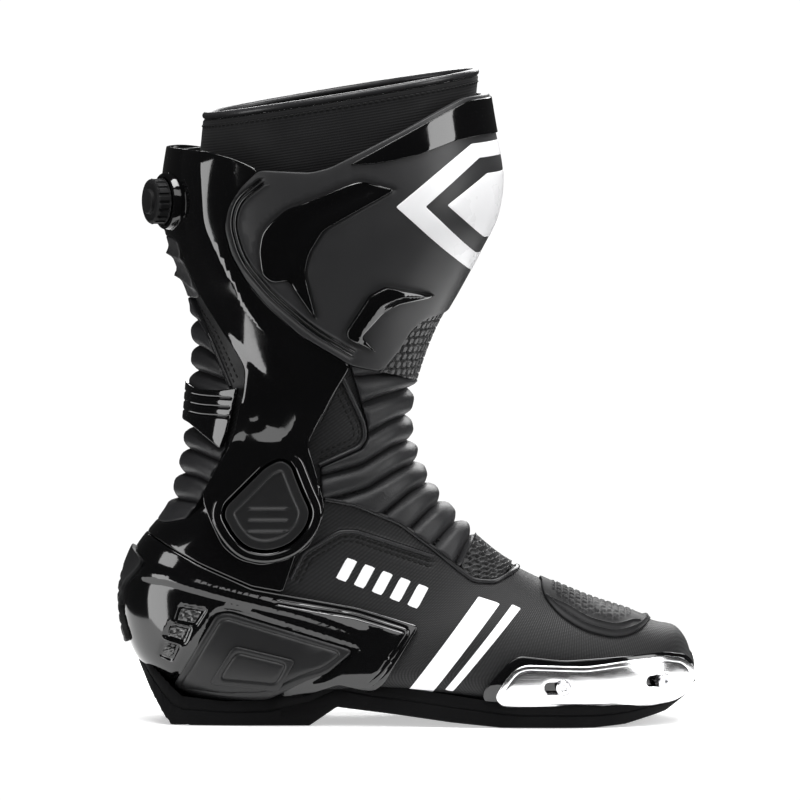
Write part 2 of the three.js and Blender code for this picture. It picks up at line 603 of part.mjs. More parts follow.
const SHIN_OUTER = [
  ...SHIN_SEAM, [-16, 190], [-6.5, 202], [-0.5, 212], [7, 218.5], [17.5, 221], [27, 231.5], [33.5, 246.5],
  [70, 270], [70, 335.5], [42.5, 335.5], [28.5, 334.5], [17.5, 329], [-3.5, 317.5], [-25, 306.5],
  [-41, 298.5], [-51, 296],
];
const SHIN_INNER = [
  [70, 335.5], [70, 270], [33.5, 246.5], [27, 231.5], [17.5, 221], [7, 218.5], [-1, 222], [-12, 240],
  [-12, 292], [-5, 312], [10, 325], [28.5, 334.5], [42.5, 335.5],
];
const HEX = [[-16, 190], [-6.5, 202], [-0.5, 212], [7, 218.5], [17.5, 221], [50, 225], [50, 196], [5, 183]];
const SCOOP = [
  [-24.5, 291.5], [-7.5, 287], [-28, 275.5], [-44.5, 266], [-52, 253.5], [-54, 243], [-48, 218],
  [-62, 240], [-70, 238.5], [-75.5, 243], [-77, 255], [-75.5, 264], [-71, 270], [-63, 277],
  [-48, 282.5], [-33, 289],
];
const CHEVRON = [
  [-13, 236.5], [11, 232.5], [-7.5, 227.5], [-15.5, 222.5], [-26, 210.5], [-19, 201.5], [-33, 209.5],
  [-33, 213], [-21, 232],
];
const TOP_STRIP = [
  [-31, 300], [-15, 301], [5, 305], [24, 312], [37, 314], [70, 314], [70, 333.5], [42.5, 333.5],
  [29, 332.5], [18, 327], [-3, 315.5],
];
const TOP_STRIP_INNER = [...TOP_STRIP.slice(3, -1), [12, 323], [10, 309]];
const STRIP = [4.6, 5.4];
const shinOuter = panel(SHIN, SHIN_OUTER, OUTER_SIDE, 3);
const shinInner = panel(SHIN, SHIN_INNER, [-0.01, FAR], 4);
add("shin_plate", shinOuter.add(shinInner), satin);
const SET_ON = [4.6, 6];
add("shin_scoop", panel(SET_ON, SCOOP, OUTER_SIDE, 3), gloss);
add("shin_chevron", panel([4.6, 7.4], CHEVRON, OUTER_SIDE, 1), gloss);
const stripOuter = panel(STRIP, TOP_STRIP, [-FAR, 0.01], 2);
add("shin_top_strip", stripOuter.add(panel(STRIP, TOP_STRIP_INNER, [-0.01, FAR], 2)), gloss);
add("shin_hex_panel", panel([0.3, 3], HEX, BOTH, 2), rubber);

// ---- Shaft: closure dial

const wellFloor = 1.2;
const wellR = DIAL.spoolR + 0.5;
const flange = [[0, -6], [DIAL.flangeR, -6], [DIAL.flangeR, 4.6], [DIAL.flangeR - 1.5, 5.6]];
const well = [[wellR, 5.6], [wellR, wellFloor], [0, wellFloor]];
add("dial_base", turned([...flange, ...well], dialSeat, dialAxis).subtract(grown(0.3)), gloss);

const knobRise = 6;
const knobTop = 14;
const knobProfile = [
  [0, wellFloor + 0.4], [DIAL.spoolR, wellFloor + 0.4], [DIAL.spoolR, knobRise], [DIAL.knobR, knobRise],
  [DIAL.knobR, knobTop - 2], [DIAL.knobR - 1.6, knobTop - 0.6], [6.5, knobTop], [6.5, knobTop + 1.6],
  [0, knobTop + 1.6],
];
add("dial_knob", turned(knobProfile, dialSeat, dialAxis, 30), rubber);

// ---- Shaft: zip on the inner side

const zipTop = onForm(...ZIP.top, true).point;
const zipFoot = onForm(...ZIP.foot, true).point;
const zipNormal = onForm((ZIP.top[0] + ZIP.foot[0]) / 2, (ZIP.top[1] + ZIP.foot[1]) / 2, true).normal;
const zipAlong = zipFoot.clone().sub(zipTop).normalize();
const zipOut = zipNormal.clone().addScaledVector(zipAlong, -zipNormal.dot(zipAlong)).normalize();
const zipAcross = new THREE.Vector3().crossVectors(zipOut, zipAlong).normalize();
const zipLength = zipTop.distanceTo(zipFoot);

// A box in the zip's own frame: along from its top, across, and out from its line.
function zipBox([a0, a1], [c0, c1], [o0, o1]) {
  const matrix = new THREE.Matrix4().makeBasis(zipAlong, zipAcross, zipOut).setPosition(zipTop);
  const centre = new THREE.Matrix4().makeTranslation((a0 + a1) / 2, (c0 + c1) / 2, (o0 + o1) / 2);
  return solid(new THREE.BoxGeometry(a1 - a0, c1 - c0, o1 - o0), matrix.multiply(centre));
}

const TAPE = [0.3, 1.3];
const tapeStrip = zipBox([-6, zipLength + 4], [-ZIP.tape, ZIP.tape], [-10, 20]);
add("zip_tape", layer(TAPE).intersect(tapeStrip), textile);
const rail = zipBox([-2, zipLength], [-ZIP.rail, ZIP.rail], [-6, ZIP.railTop]).subtract(grown(1.6));
add("zip_teeth", rail, steel);

// The slider straddles the rail, and its arch holds the pull by a crossbar.
const sliderFloor = ZIP.railTop - 1.35;
const sliderTop = sliderFloor + SLIDER.height;
const start = SLIDER.start;
const half = SLIDER.width / 2;
const channel = ZIP.rail + 0.4;
const sliderBlock = zipBox([start, start + SLIDER.length], [-half, half], [sliderFloor, sliderTop]);
const sliderSlot = zipBox([start - 1, start + 20], [-channel, channel], [sliderFloor - 1, ZIP.railTop + 0.4]);
const archBlock = zipBox([start + 2, start + 10.2], [-0.7, 0.7], [sliderTop - 0.1, sliderTop + 3.1]);
const archHole = zipBox([start + 3.2, start + 9], [-2, 2], [sliderTop, sliderTop + 1.9]);
add("zip_slider", sliderBlock.subtract(sliderSlot).add(archBlock.subtract(archHole)), steel);

// The pull hangs straight down from its crossbar.
const hinge = zipTop
  .clone()
  .addScaledVector(zipAlong, start + 4.6)
  .addScaledVector(zipOut, sliderTop + 0.95);
const outward = new THREE.Vector3().crossVectors(zipAcross, new THREE.Vector3(0, 0, 1)).normalize();
outward.multiplyScalar(Math.sign(outward.dot(zipOut)));

function pullBox([down0, down1], halfWidth, halfThick) {
  const axes = new THREE.Matrix4().makeBasis(new THREE.Vector3(0, 0, -1), zipAcross, outward);
  const middle = new THREE.Matrix4().makeTranslation((down0 + down1) / 2, 0, 0);
  const shape = new THREE.BoxGeometry(down1 - down0, 2 * halfWidth, 2 * halfThick);
  return solid(shape, axes.setPosition(hinge).multiply(middle));
}

const pullPlate = pullBox([-PULL.thick / 2, PULL.length], PULL.half, PULL.thick / 2);
add("zip_pull", pullPlate.subtract(pullBox([PULL.thick / 2, 6.4], 1.3, 2)), steel);

// A leather tab that closes over the collar's slit above the zip, hinged at its front edge.
const FLAP = { front: -10, rear: -52, low: 306, high: 320, y: 59.6, thick: 1.8 };
add("closure_flap", flap(), leather);

function flap() {
  const outline = [
    [FLAP.front, FLAP.low + 3], [FLAP.front, FLAP.high], [FLAP.rear, FLAP.high - 4], [FLAP.rear, FLAP.low],
  ];
  return prism(rounded(outline, 4), FLAP.y, FLAP.y + FLAP.thick);
}

// ---- The frame: origin on the ground, in the middle of the box round the boot

const bounds = new THREE.Box3().setFromObject(boot);
const middle = bounds.getCenter(new THREE.Vector3());
boot.position.set(-middle.x, -middle.y, -bounds.min.z);

export default boot;
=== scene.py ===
"""Looks of a right-foot motorcycle racing boot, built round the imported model's bodies."""
import json
import math

import bmesh
import bpy
import numpy as np
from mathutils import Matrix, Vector, kdtree
from mathutils.geometry import delaunay_2d_cdt


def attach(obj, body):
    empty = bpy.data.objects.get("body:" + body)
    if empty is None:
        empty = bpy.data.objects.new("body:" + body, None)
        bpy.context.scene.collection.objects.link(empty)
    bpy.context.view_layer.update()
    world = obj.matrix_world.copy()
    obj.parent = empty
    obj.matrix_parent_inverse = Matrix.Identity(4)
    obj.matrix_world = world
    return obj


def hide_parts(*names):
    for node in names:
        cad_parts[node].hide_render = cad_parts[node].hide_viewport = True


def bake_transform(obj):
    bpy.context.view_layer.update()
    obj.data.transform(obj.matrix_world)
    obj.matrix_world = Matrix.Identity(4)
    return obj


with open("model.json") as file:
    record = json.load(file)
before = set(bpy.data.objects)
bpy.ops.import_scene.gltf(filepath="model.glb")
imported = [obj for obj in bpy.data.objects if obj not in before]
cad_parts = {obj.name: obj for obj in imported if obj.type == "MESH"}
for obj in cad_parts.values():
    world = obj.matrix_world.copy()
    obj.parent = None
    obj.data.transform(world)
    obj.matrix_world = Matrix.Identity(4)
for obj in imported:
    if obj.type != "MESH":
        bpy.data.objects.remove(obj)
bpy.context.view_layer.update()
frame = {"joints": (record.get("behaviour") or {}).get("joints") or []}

JOINTS = {joint["name"]: joint for joint in frame["joints"]}
MM = 0.001

# ---- The boot's form, as in the model: millimetres, +X to the toe, -Y the outer side, +Z up

# front x, front z, rear x, rear z, outer half-width, inner half-width, sideways shift,
# place of the widest point (0 front to 1 rear), and how square the front and rear curves are.
SECTIONS = np.array([
    [39, 338.5, -125.5, 307.5, 60, 58, 0, 0.5, 2.1, 2.1],
    [42.5, 317.5, -128, 290.5, 61.5, 57, 0, 0.5, 2.1, 2.1],
    [47, 293, -128.5, 273.5, 62, 56, 0, 0.5, 2.1, 2.1],
    [44.5, 272, -125, 257, 61, 55, 0, 0.5, 2.1, 2.1],
    [35, 252, -119.5, 241.5, 58, 53.5, 0, 0.5, 2.1, 2.1],
    [24.5, 232.5, -114, 226.5, 54, 51.5, 0, 0.5, 2.1, 2.1],
    [13.5, 213, -112.5, 210.5, 50, 49.5, 0, 0.5, 2.1, 2.1],
    [5.5, 193, -112.5, 193, 46.5, 47.5, 0, 0.5, 2.1, 2.1],
    [0.5, 174, -114, 175.5, 44, 45.5, 0, 0.5, 2.1, 2.1],
    [0, 155.5, -116, 155.5, 42.5, 43.5, 0, 0.5, 2.15, 2.15],
    [5, 137.5, -120, 133, 42, 42, 0, 0.52, 2.2, 2.2],
    [14, 122, -127, 112, 42, 41.5, 0, 0.54, 2.2, 2.3],
    [25.5, 108, -143.5, 89.5, 41.5, 41, 0, 0.56, 2.2, 2.4],
    [38, 96.5, -149.5, 63, 41, 41, 0, 0.58, 2.2, 2.5],
    [50, 87, -139.5, 32.5, 42, 41.5, 0, 0.6, 2.2, 2.7],
    [62.5, 80, -102.5, 13, 44, 43.5, 0, 0.62, 2.2, 3],
    [79.5, 72, -20, 16, 47.5, 47, 0, 0.66, 2.3, 3.3],
    [99, 64, 47, 9.5, 50.5, 50, 0, 0.68, 2.3, 3.5],
    [117, 58, 98, 8.5, 47.5, 48, 2, 0.68, 2.3, 3.5],
    [132.5, 52.5, 127.5, 10, 38.5, 39, 4, 0.66, 2.3, 3.2],
    [143, 50, 143, 13.5, 27.5, 28, 6.5, 0.62, 2.3, 2.8],
    [149, 43.5, 149, 16, 16.5, 17, 8, 0.56, 2.2, 2.4],
    [152, 35.5, 152, 19.5, 6.5, 7, 8.5, 0.5, 2.1, 2.1],
])
LAST = len(SECTIONS) - 1
TIP = LAST + 1  # the sections close to a point between the last row and this
TIP_BULGE = 2.2
PIVOT = np.array([-76.0, 0.0, 115.0])
SHIFT = np.array(JOINTS["ankle_flex"]["pos_m"]) / MM - PIVOT


def section(s):
    s = np.clip(s, 0, LAST)
    i = np.minimum(s.astype(int), LAST - 1)
    t = (s - i)[:, None]
    a, b, d, e = (SECTIONS[np.clip(i + k, 0, LAST)] for k in (-1, 0, 1, 2))
    return b + 0.5 * t * (d - a + t * (2 * a - 5 * b + 4 * d - e + t * (3 * (b - d) + e - a)))


def form(s, a):
    """Points of the form at sections s and angles a: 0 front, pi/2 outer side, pi rear."""
    s, a = np.broadcast_arrays(np.asarray(s, float), np.asarray(a, float))
    s, a = s.ravel(), a.ravel()
    fx, fz, rx, rz, outer, inner, shift, widest, n_front, n_rear = section(s).T
    c, sn = np.cos(a), np.sin(a)
    power = 2 / np.where(c > 0, n_front, n_rear)
    along = np.sign(c) * np.abs(c) ** power
    across = np.abs(sn) ** power
    t = np.where(c > 0, widest * (1 - along), widest - (1 - widest) * along)
    y = shift + np.where(sn >= 0, -outer, inner) * across
    points = np.stack([fx + (rx - fx) * t, y, fz + (rz - fz) * t], 1)
    middle = np.stack([(fx + rx) / 2, shift, (fz + rz) / 2], 1)
    turn = np.clip(s - LAST, 0, 1)[:, None] * math.pi / 2
    tip = middle + (points - middle) * np.cos(turn) + TIP_BULGE * np.sin(turn) * [1, 0, 0]
    return np.where(turn > 0, tip, points)


def slopes(s, a):
    """How the form's point moves with s and with a."""
    ds, da = 0.03, 0.03
    below, above = np.minimum(s + ds, TIP - 0.02), np.maximum(s - ds, 0)
    by_s = (form(below, a) - form(above, a)) / np.maximum(below - above, 1e-3)[:, None]
    by_a = (form(s, a + da) - form(s, a - da)) / (2 * da)
    return by_s, by_a


def unit(v):
    return v / np.maximum(np.linalg.norm(v, axis=-1, keepdims=True), 1e-9)


def normals(s, a):
    by_s, by_a = slopes(np.minimum(s, TIP - 0.05), a)
    return unit(np.cross(by_a, by_s))


# The chart: one flat map of the whole form, the toe tip at its middle, angles kept.
CHART_S = np.linspace(0, TIP, 1151)
_ring = np.stack([form(CHART_S, a) for a in np.linspace(0, 2 * math.pi, 24, endpoint=False)])
_step = np.linalg.norm(np.diff(_ring, axis=1), axis=2).mean(0)
CHART_U = np.concatenate([[0], np.cumsum(_step)])
CHART_R = 52.0


def chart(s, a):
    rho = np.exp(-np.interp(s, CHART_S, CHART_U) / CHART_R)
    return np.stack([rho * np.cos(a), rho * np.sin(a)], 1)


def unchart(xy):
    rho = np.maximum(np.linalg.norm(xy, axis=1), 1e-12)
    s = np.interp(-np.log(rho) * CHART_R, CHART_U, CHART_S)
    return s, np.arctan2(xy[:, 1], xy[:, 0])


_fronts = section(np.clip(CHART_S, 0, LAST))


def locate(x, z):
    """Sections and fractions t (0 front to 1 rear) of side-view points."""
    fx, fz, rx, rz = _fronts[:, :4].T
    cross = (rx - fx) * (z[:, None] - fz) - (rz - fz) * (x[:, None] - fx)
    length2 = (rx - fx) ** 2 + (rz - fz) ** 2
    t = ((rx - fx) * (x[:, None] - fx) + (rz - fz) * (z[:, None] - fz)) / length2
    found_s, found_t = np.zeros(len(x)), np.zeros(len(x))
    limit = np.searchsorted(CHART_S, LAST)
    for i in range(len(x)):
        c = cross[i, :limit]
        k = np.nonzero(np.sign(c[1:]) != np.sign(c[:-1]))[0]
        if len(k) == 0:
            k = np.array([np.argmin(np.abs(c / np.sqrt(length2[:limit])))])
        outside = np.maximum(np.maximum(-t[i, k], t[i, k] - 1), 0)
        k = k[np.argmin(outside)]
        n = min(k + 1, limit - 1)
        share = 0 if c[k] == c[n] else np.clip(c[k] / (c[k] - c[n]), 0, 1)
        found_s[i] = CHART_S[k] + share * (CHART_S[n] - CHART_S[k])
        found_t[i] = t[i, k] + share * (t[i, n] - t[i, k])
    return found_s, found_t


def angle_of(s, t):
    """The angle on the outer side whose point stands a fraction t of the way back."""
    _, _, _, _, _, _, _, widest, n_front, n_rear = section(s).T
    t = np.clip(t, 0, 1)
    ahead = np.clip(1 - t / widest, 0, 1) ** (n_front / 2)
    behind = np.clip((t - widest) / (1 - widest), 0, 1) ** (n_rear / 2)
    return np.arccos(np.clip(np.where(t < widest, ahead, -behind), -1, 1))


# ---- Outlines drawn in the side view

def rounded(points, radius, closed=True, steps=5):
    """Side-view points with their corners rounded."""
    points = np.asarray(points, float)
    out = []
    count = len(points)
    for i, p in enumerate(points):
        if not closed and i in (0, count - 1):
            out.append(p)
            continue
        before, after = points[i - 1], points[(i + 1) % count]
        b, f = np.linalg.norm(before - p), np.linalg.norm(after - p)
        r = min(radius, b * 0.48, f * 0.48)
        start, end = p + (before - p) * r / b, p + (after - p) * r / f
        for k in np.linspace(0, 1, steps):
            out.append((1 - k) ** 2 * start + 2 * k * (1 - k) * p + k**2 * end)
    return np.array(out)


def densified(points, step, closed=True):
    points = np.asarray(points, float)
    ends = np.roll(points, -1, 0) if closed else points[1:]
    starts = points if closed else points[:-1]
    out = []
    for p, q in zip(starts, ends):
        n = max(1, int(math.ceil(np.linalg.norm(q - p) / step)))
        out.extend(p + (q - p) * k / n for k in range(n))
    if not closed:
        out.append(points[-1])
    return np.array(out)


STEP = 1.6  # spacing of points along an edge
BEYOND_TOE = 156.0  # past this x there is no form, so an outline there is off it


def resampled(sa, closed):
    """(s, a) points with none further apart than a step on the form, and none on top of each other."""
    if closed:
        sa = np.vstack([sa, sa[:1]])
    out = [sa[0]]
    points = form(sa[:, 0], sa[:, 1])
    for i in range(1, len(sa)):
        turn = (sa[i, 1] - sa[i - 1, 1] + math.pi) % (2 * math.pi) - math.pi
        gap = np.linalg.norm(points[i] - points[i - 1])
        n = max(1, int(math.ceil(gap / (STEP * 1.3))))
        for k in range(1, n + 1):
            share = k / n
            out.append([sa[i - 1, 0] + share * (sa[i, 0] - sa[i - 1, 0]), sa[i - 1, 1] + share * turn])
    out = np.array(out[:-1] if closed else out)
    points = form(out[:, 0], out[:, 1])
    keep = [0]
    for i in range(1, len(out)):
        if np.linalg.norm(points[i] - points[keep[-1]]) > STEP * 0.4:
            keep.append(i)
    if closed and np.linalg.norm(points[keep[-1]] - points[0]) < STEP * 0.4:
        keep.pop()
    return out[keep]


def chains_on(points, sign):
    """The runs of a closed side-view outline that lie on the form, on one side."""
    dense = densified(points, STEP)
    s, t = locate(dense[:, 0], dense[:, 1])
    inside = (t > 0) & (t < 1) & (dense[:, 0] < BEYOND_TOE)
    sa = np.stack([s, sign * angle_of(s, t)], 1)
    if inside.all():
        return [(sa, True)]
    start = int(np.nonzero(~inside)[0][0])
    order = (np.arange(len(dense) + 1) + start) % len(dense)
    chains, run = [], []
    for before, i in zip(order[:-1], order[1:]):
        if inside[i]:
            if not run:
                run.append(sa[before])
            run.append(sa[i])
        elif run:
            run.append(sa[i])
            chains.append((np.array(run), False))
            run = []
    return chains


def is_front(point):
    return math.cos(point[1]) > 0


def loops_of(outline, sides="both", inner=None, corner=2.0):
    """Closed (s, a) loops round the part of the form that an outline takes in."""
    chains = []
    if sides != "inner":
        chains += chains_on(rounded(outline, corner), 1)
    if sides != "outer":
        chains += chains_on(rounded(outline if inner is None else inner, corner), -1)
    loops = [sa for sa, closed in chains if closed]
    loose = [sa for sa, closed in chains if not closed]
    if sides != "both":
        loops += loose
        return [resampled(loop, True) for loop in loops]
    while loose:
        loop = loose.pop(0)
        while loose:
            end = loop[-1]
            options = [
                (abs(chain[e][0] - end[0]), i, e)
                for i, chain in enumerate(loose)
                for e in (0, -1)
                if is_front(chain[e]) == is_front(end)
            ]
            home = abs(loop[0][0] - end[0]) if is_front(loop[0]) == is_front(end) else 99
            if not options or home <= min(options)[0]:
                break
            _, i, e = min(options)
            chain = loose.pop(i)
            loop = np.vstack([loop, chain if e == 0 else chain[::-1]])
        loops.append(loop)
    return [resampled(loop, True) for loop in loops]


def trail(points, side="outer", corner=3.0, closed=False):
    """(s, a) points along a side-view line on one side of the form."""
    line = densified(rounded(points, corner, closed), STEP, closed)
    s, t = locate(line[:, 0], line[:, 1])
    keep = (t > -0.02) & (t < 1.02)
    sign = 1 if side == "outer" else -1
    return resampled(np.stack([s, sign * angle_of(s, t)], 1)[keep], closed)


# ---- Relief: how far a surface stands above or below its layer, near lines and within shapes

def distance_to(points, path, closed=False):
    """Distances of points to a line of points, in space."""
    ends = np.roll(path, -1, 0) if closed else path[1:]
    starts = path if closed else path[:-1]
    out = np.empty(len(points))
    run = ends - starts
    length2 = np.maximum((run**2).sum(1), 1e-9)
    for i in range(0, len(points), 2000):
        away = points[i:i + 2000, None] - starts
        share = np.clip((away * run).sum(2) / length2, 0, 1)
        out[i:i + 2000] = np.sqrt((((away - share[..., None] * run) ** 2).sum(2)).min(1))
    return out


class Line:
    """A ridge (height above 0) or groove along a line; its guides make the mesh fine there."""

    def __init__(self, sa, width, height, closed=False, profile="round"):
        self.path = form(sa[:, 0], sa[:, 1])
        self.width = width
        self.height = height
        self.closed = closed
        self.profile = profile
        places = (-1, -0.5, 0, 0.5, 1) if profile == "fold" else (-1.6, -0.8, 0, 0.8, 1.6)
        self.guides = [beside(sa, place * width, closed) for place in places]

    def __call__(self, points, s, a):
        d = distance_to(points, self.path, self.closed) / self.width
        if self.profile == "fold":
            return self.height * np.maximum(0, 1 - d)
        return self.height * np.exp(-((d * 1.3) ** 2))


class Step:
    """A raised or sunk shape with a sloping edge."""

    def __init__(self, loops, ramp, height):
        self.loops = loops
        self.ramp = ramp
        self.height = height
        self.guides = [beside(loop, d, True) for loop in loops for d in (-ramp, 0, ramp)]

    def __call__(self, points, s, a):
        inside = within(chart(s, a), [chart(l[:, 0], l[:, 1]) for l in self.loops])
        d = np.min([distance_to(points, form(l[:, 0], l[:, 1]), True) for l in self.loops], axis=0)
        signed = np.where(inside, d, -d)
        return self.height * smooth(signed, -self.ramp, self.ramp)


class Field:
    """Any relief given as a function of points, sections and angles."""

    guides = ()

    def __init__(self, function):
        self.function = function

    def __call__(self, points, s, a):
        return self.function(points, s, a)


def smooth(x, low, high):
    t = np.clip((x - low) / (high - low), 0, 1)
    return t * t * (3 - 2 * t)


def within(points, loops):
    """Which chart points lie inside an odd number of loops."""
    odd = np.zeros(len(points), bool)
    for loop in loops:
        x0, y0 = loop.T
        x1, y1 = np.roll(loop, -1, 0).T
        for i in range(0, len(points), 2000):
            px, py = points[i:i + 2000, 0, None], points[i:i + 2000, 1, None]
            spans = (y0 > py) != (y1 > py)
            with np.errstate(divide="ignore", invalid="ignore"):
                hit = spans & (px < (x1 - x0) * (py - y0) / (y1 - y0) + x0)
            odd[i:i + 2000] ^= (hit.sum(1) % 2).astype(bool)
    return odd


def beside(sa, distance, closed):
    """(s, a) points moved sideways off a line, to its left as it is walked with the form's outside up."""
    if distance == 0:
        return sa
    points = form(sa[:, 0], sa[:, 1])
    out = normals(sa[:, 0], sa[:, 1])
    if closed:
        run_in, run_out = points - np.roll(points, 1, 0), np.roll(points, -1, 0) - points
    else:
        run_in = np.vstack([points[1:2] - points[:1], np.diff(points, axis=0)])
        run_out = np.vstack([np.diff(points, axis=0), points[-1:] - points[-2:-1]])
    left_in, left_out = unit(np.cross(out, unit(run_in))), unit(np.cross(out, unit(run_out)))
    bisector = left_in + left_out
    aside = bisector / np.maximum((bisector * left_in).sum(1), 0.75)[:, None] * distance
    by_s, by_a = slopes(sa[:, 0], sa[:, 1])
    ss, aa, sa_ = (by_s**2).sum(1), (by_a**2).sum(1), (by_s * by_a).sum(1)
    ps, pa = (aside * by_s).sum(1), (aside * by_a).sum(1)
    det = np.maximum(ss * aa - sa_**2, 1e-6)
    moved = sa.copy()
    moved[:, 0] += (ps * aa - pa * sa_) / det
    moved[:, 1] += (pa * ss - ps * sa_) / det
    moved[:, 0] = np.clip(moved[:, 0], 0, TIP)
    return moved


# ---- Meshes

def lattice(spacing, low, high):
    """(s, a) points spread over the form between two sections."""
    fine = np.linspace(low, high, 400)
    rings = np.stack([form(fine, a) for a in np.linspace(0, math.pi, 7)])
    length = np.concatenate([[0], np.cumsum(np.linalg.norm(np.diff(rings, axis=1), axis=2).max(0))])
    rows = np.interp(np.arange(spacing * 0.3, length[-1] + spacing, spacing), length, fine)
    out = []
    for row in np.unique(rows):
        ring = form(row, np.linspace(0, 2 * math.pi, 60))
        around = np.linalg.norm(np.diff(ring, axis=0), axis=1).sum()
        count = 384
        while count > 6 and around / count < spacing * 0.7:
            count //= 2
        out.extend((row, 2 * math.pi * k / count) for k in range(count))
    out.append((TIP, 0.0))
    return np.array([p for p in out if p[0] <= high + 1e-6])


def number_or_call(value, points, s, a):
    return value(points, s, a) if callable(value) else np.full(len(s), float(value))


def triangles(points, edges, loops):
    """Triangles of chart points within loops, keeping the edges; also each made vertex's source."""
    made, _, faces, sources, _, _ = delaunay_2d_cdt(
        [Vector(p) for p in points], [tuple(e) for e in edges], [], 0, 1e-9
    )
    made = np.array([tuple(v) for v in made])
    faces = np.array([f for f in faces if len(f) == 3])
    faces = faces[within(made[faces].mean(1), loops)]
    return made, faces, [list(o) for o in sources]


def ring_edges(start, count):
    return [(start + k, start + (k + 1) % count) for k in range(count)]


def ring_faces(rings, size, spans):
    """Quads between rings of points, each ring joined to the next; past the last ring comes the first."""
    faces = []
    for i in range(spans):
        j = (i + 1) % rings
        for k in range(size):
            m = (k + 1) % size
            faces.append((i * size + k, i * size + m, j * size + m, j * size + k))
    return faces


def surface(loops, rings, spacing, guides):
    """A chart mesh with rows of points drawn in from each loop.

    Gives s, a, the number of each point's row or -1, faces, and the points of each loop in order.
    """
    s_low = min(loop[:, 0].min() for loop in loops) - 0.05
    s_high = max(loop[:, 0].max() for loop in loops) + 0.05
    chart_loops = [chart(loop[:, 0], loop[:, 1]) for loop in loops]
    if within(np.array([[0.0, 0.0]]), chart_loops)[0]:
        s_high = TIP
    sa, edges, number, starts = [], [], [], []
    total = 0
    for loop in loops:
        side = inward_sign(loop, chart_loops)
        for k, inset in enumerate(rings):
            ring = beside(loop, side * inset, True)
            if k == 0:
                starts.append((total, len(ring)))
            sa.append(ring)
            number += [k] * len(ring)
            edges += ring_edges(total, len(ring))
            total += len(ring)
    tree = tree_of(np.vstack([form(loop[:, 0], loop[:, 1]) for loop in loops]))
    free = lattice(spacing, max(s_low, 0), min(s_high, TIP))
    free = free[clear_of(free, chart_loops, tree, rings[-1] + 0.55 * spacing)]
    rails = []
    for guide in guides:
        kept = clear_of(guide, chart_loops, tree, rings[-1] + 0.2)
        ids = total + np.cumsum(kept) - 1
        edges += [(ids[k], ids[k + 1]) for k in range(len(guide) - 1) if kept[k] and kept[k + 1]]
        rails.append(guide[kept])
        total += int(kept.sum())
    if rails and total:
        rails = np.vstack(rails)
        if len(rails):
            rail_tree = tree_of(form(rails[:, 0], rails[:, 1]))
            points = form(free[:, 0], free[:, 1])
            free = free[[rail_tree.find(p)[2] > 0.5 * spacing for p in points]]
            sa.append(rails)
    sa.append(free)
    number += [-1] * (sum(len(part) for part in sa) - len(number))
    sa = np.vstack(sa)
    made, faces, sources = triangles(chart(sa[:, 0], sa[:, 1]), edges, chart_loops)
    made_s, made_a = unchart(made)
    number = np.array(number)
    made_number = np.full(len(made), -1)
    where = {}
    for i, origin in enumerate(sources):
        if origin:
            first = min(origin)
            made_s[i], made_a[i] = sa[first]
            made_number[i] = number[first]
            for o in origin:
                where[o] = i
    loop_ids = [[where[start + k] for k in range(count)] for start, count in starts]
    return made_s, made_a, made_number, faces, loop_ids


def tree_of(points):
    tree = kdtree.KDTree(len(points))
    for i, p in enumerate(points):
        tree.insert(p, i)
    tree.balance()
    return tree


def clear_of(sa, chart_loops, tree, margin):
    """Which points are inside the loops and further than a margin from their edges."""
    inside = within(chart(sa[:, 0], sa[:, 1]), chart_loops)
    points = form(sa[:, 0], sa[:, 1])
    return inside & np.array([tree.find(p)[2] > margin for p in points], bool)


def inward_sign(loop, chart_loops):
    """1 if the panel lies to the loop's left, else -1."""
    trial = beside(loop, 0.4, True)
    return 1 if within(chart(trial[:, 0], trial[:, 1]), chart_loops).mean() > 0.5 else -1


def mesh_object(name, points, faces, uv=None, sharp=40):
    """A smooth-shaded object from points in boot millimetres, its faces turned outwards."""
    mesh = bpy.data.meshes.new(name)
    mesh.from_pydata(
        ((np.asarray(points) + SHIFT) * MM).tolist(), [], [tuple(map(int, f)) for f in faces]
    )
    if uv is not None:
        layer = mesh.uv_layers.new(name="UVMap")
        index = np.empty(len(mesh.loops), int)
        mesh.loops.foreach_get("vertex_index", index)
        layer.data.foreach_set("uv", (np.asarray(uv)[index] * MM).ravel())
    work = bmesh.new()
    work.from_mesh(mesh)
    bmesh.ops.remove_doubles(work, verts=work.verts, dist=1e-6)
    bmesh.ops.dissolve_degenerate(work, dist=1e-7, edges=work.edges)
    bmesh.ops.recalc_face_normals(work, faces=work.faces)
    work.to_mesh(mesh)
    work.free()
    mesh.shade_smooth()
    mesh.set_sharp_from_angle(angle=math.radians(sharp))
    made = bpy.data.objects.new(name, mesh)
    bpy.context.scene.collection.objects.link(made)
    return made


def settle(made, body, material, replaces=()):
    """Gives a piece its material and body (a piece between two bodies is only baked in place), and hides
    the CAD nodes it stands for.
    """
    made.data.materials.clear()
    made.data.materials.append(material)
    if isinstance(body, tuple):
        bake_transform(made)
    else:
        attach(made, body)
    if replaces:
        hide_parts(*replaces)
    return made


def arc_uv(s, a):
    """Flat coordinates in millimetres: along the outer side, and round the section from its front."""
    u = np.interp(s, CHART_S, CHART_U)
    girth = section(s)
    reach = np.hypot(girth[:, 0] - girth[:, 2], girth[:, 1] - girth[:, 3])
    return np.stack([u, a * (reach / 2 + girth[:, 4]) / 2], 1)


BEVEL_STEPS = ((1.0, 0.0), (0.38, 0.08), (0.1, 0.36), (0.0, 1.0))  # drop and inset, in bevels


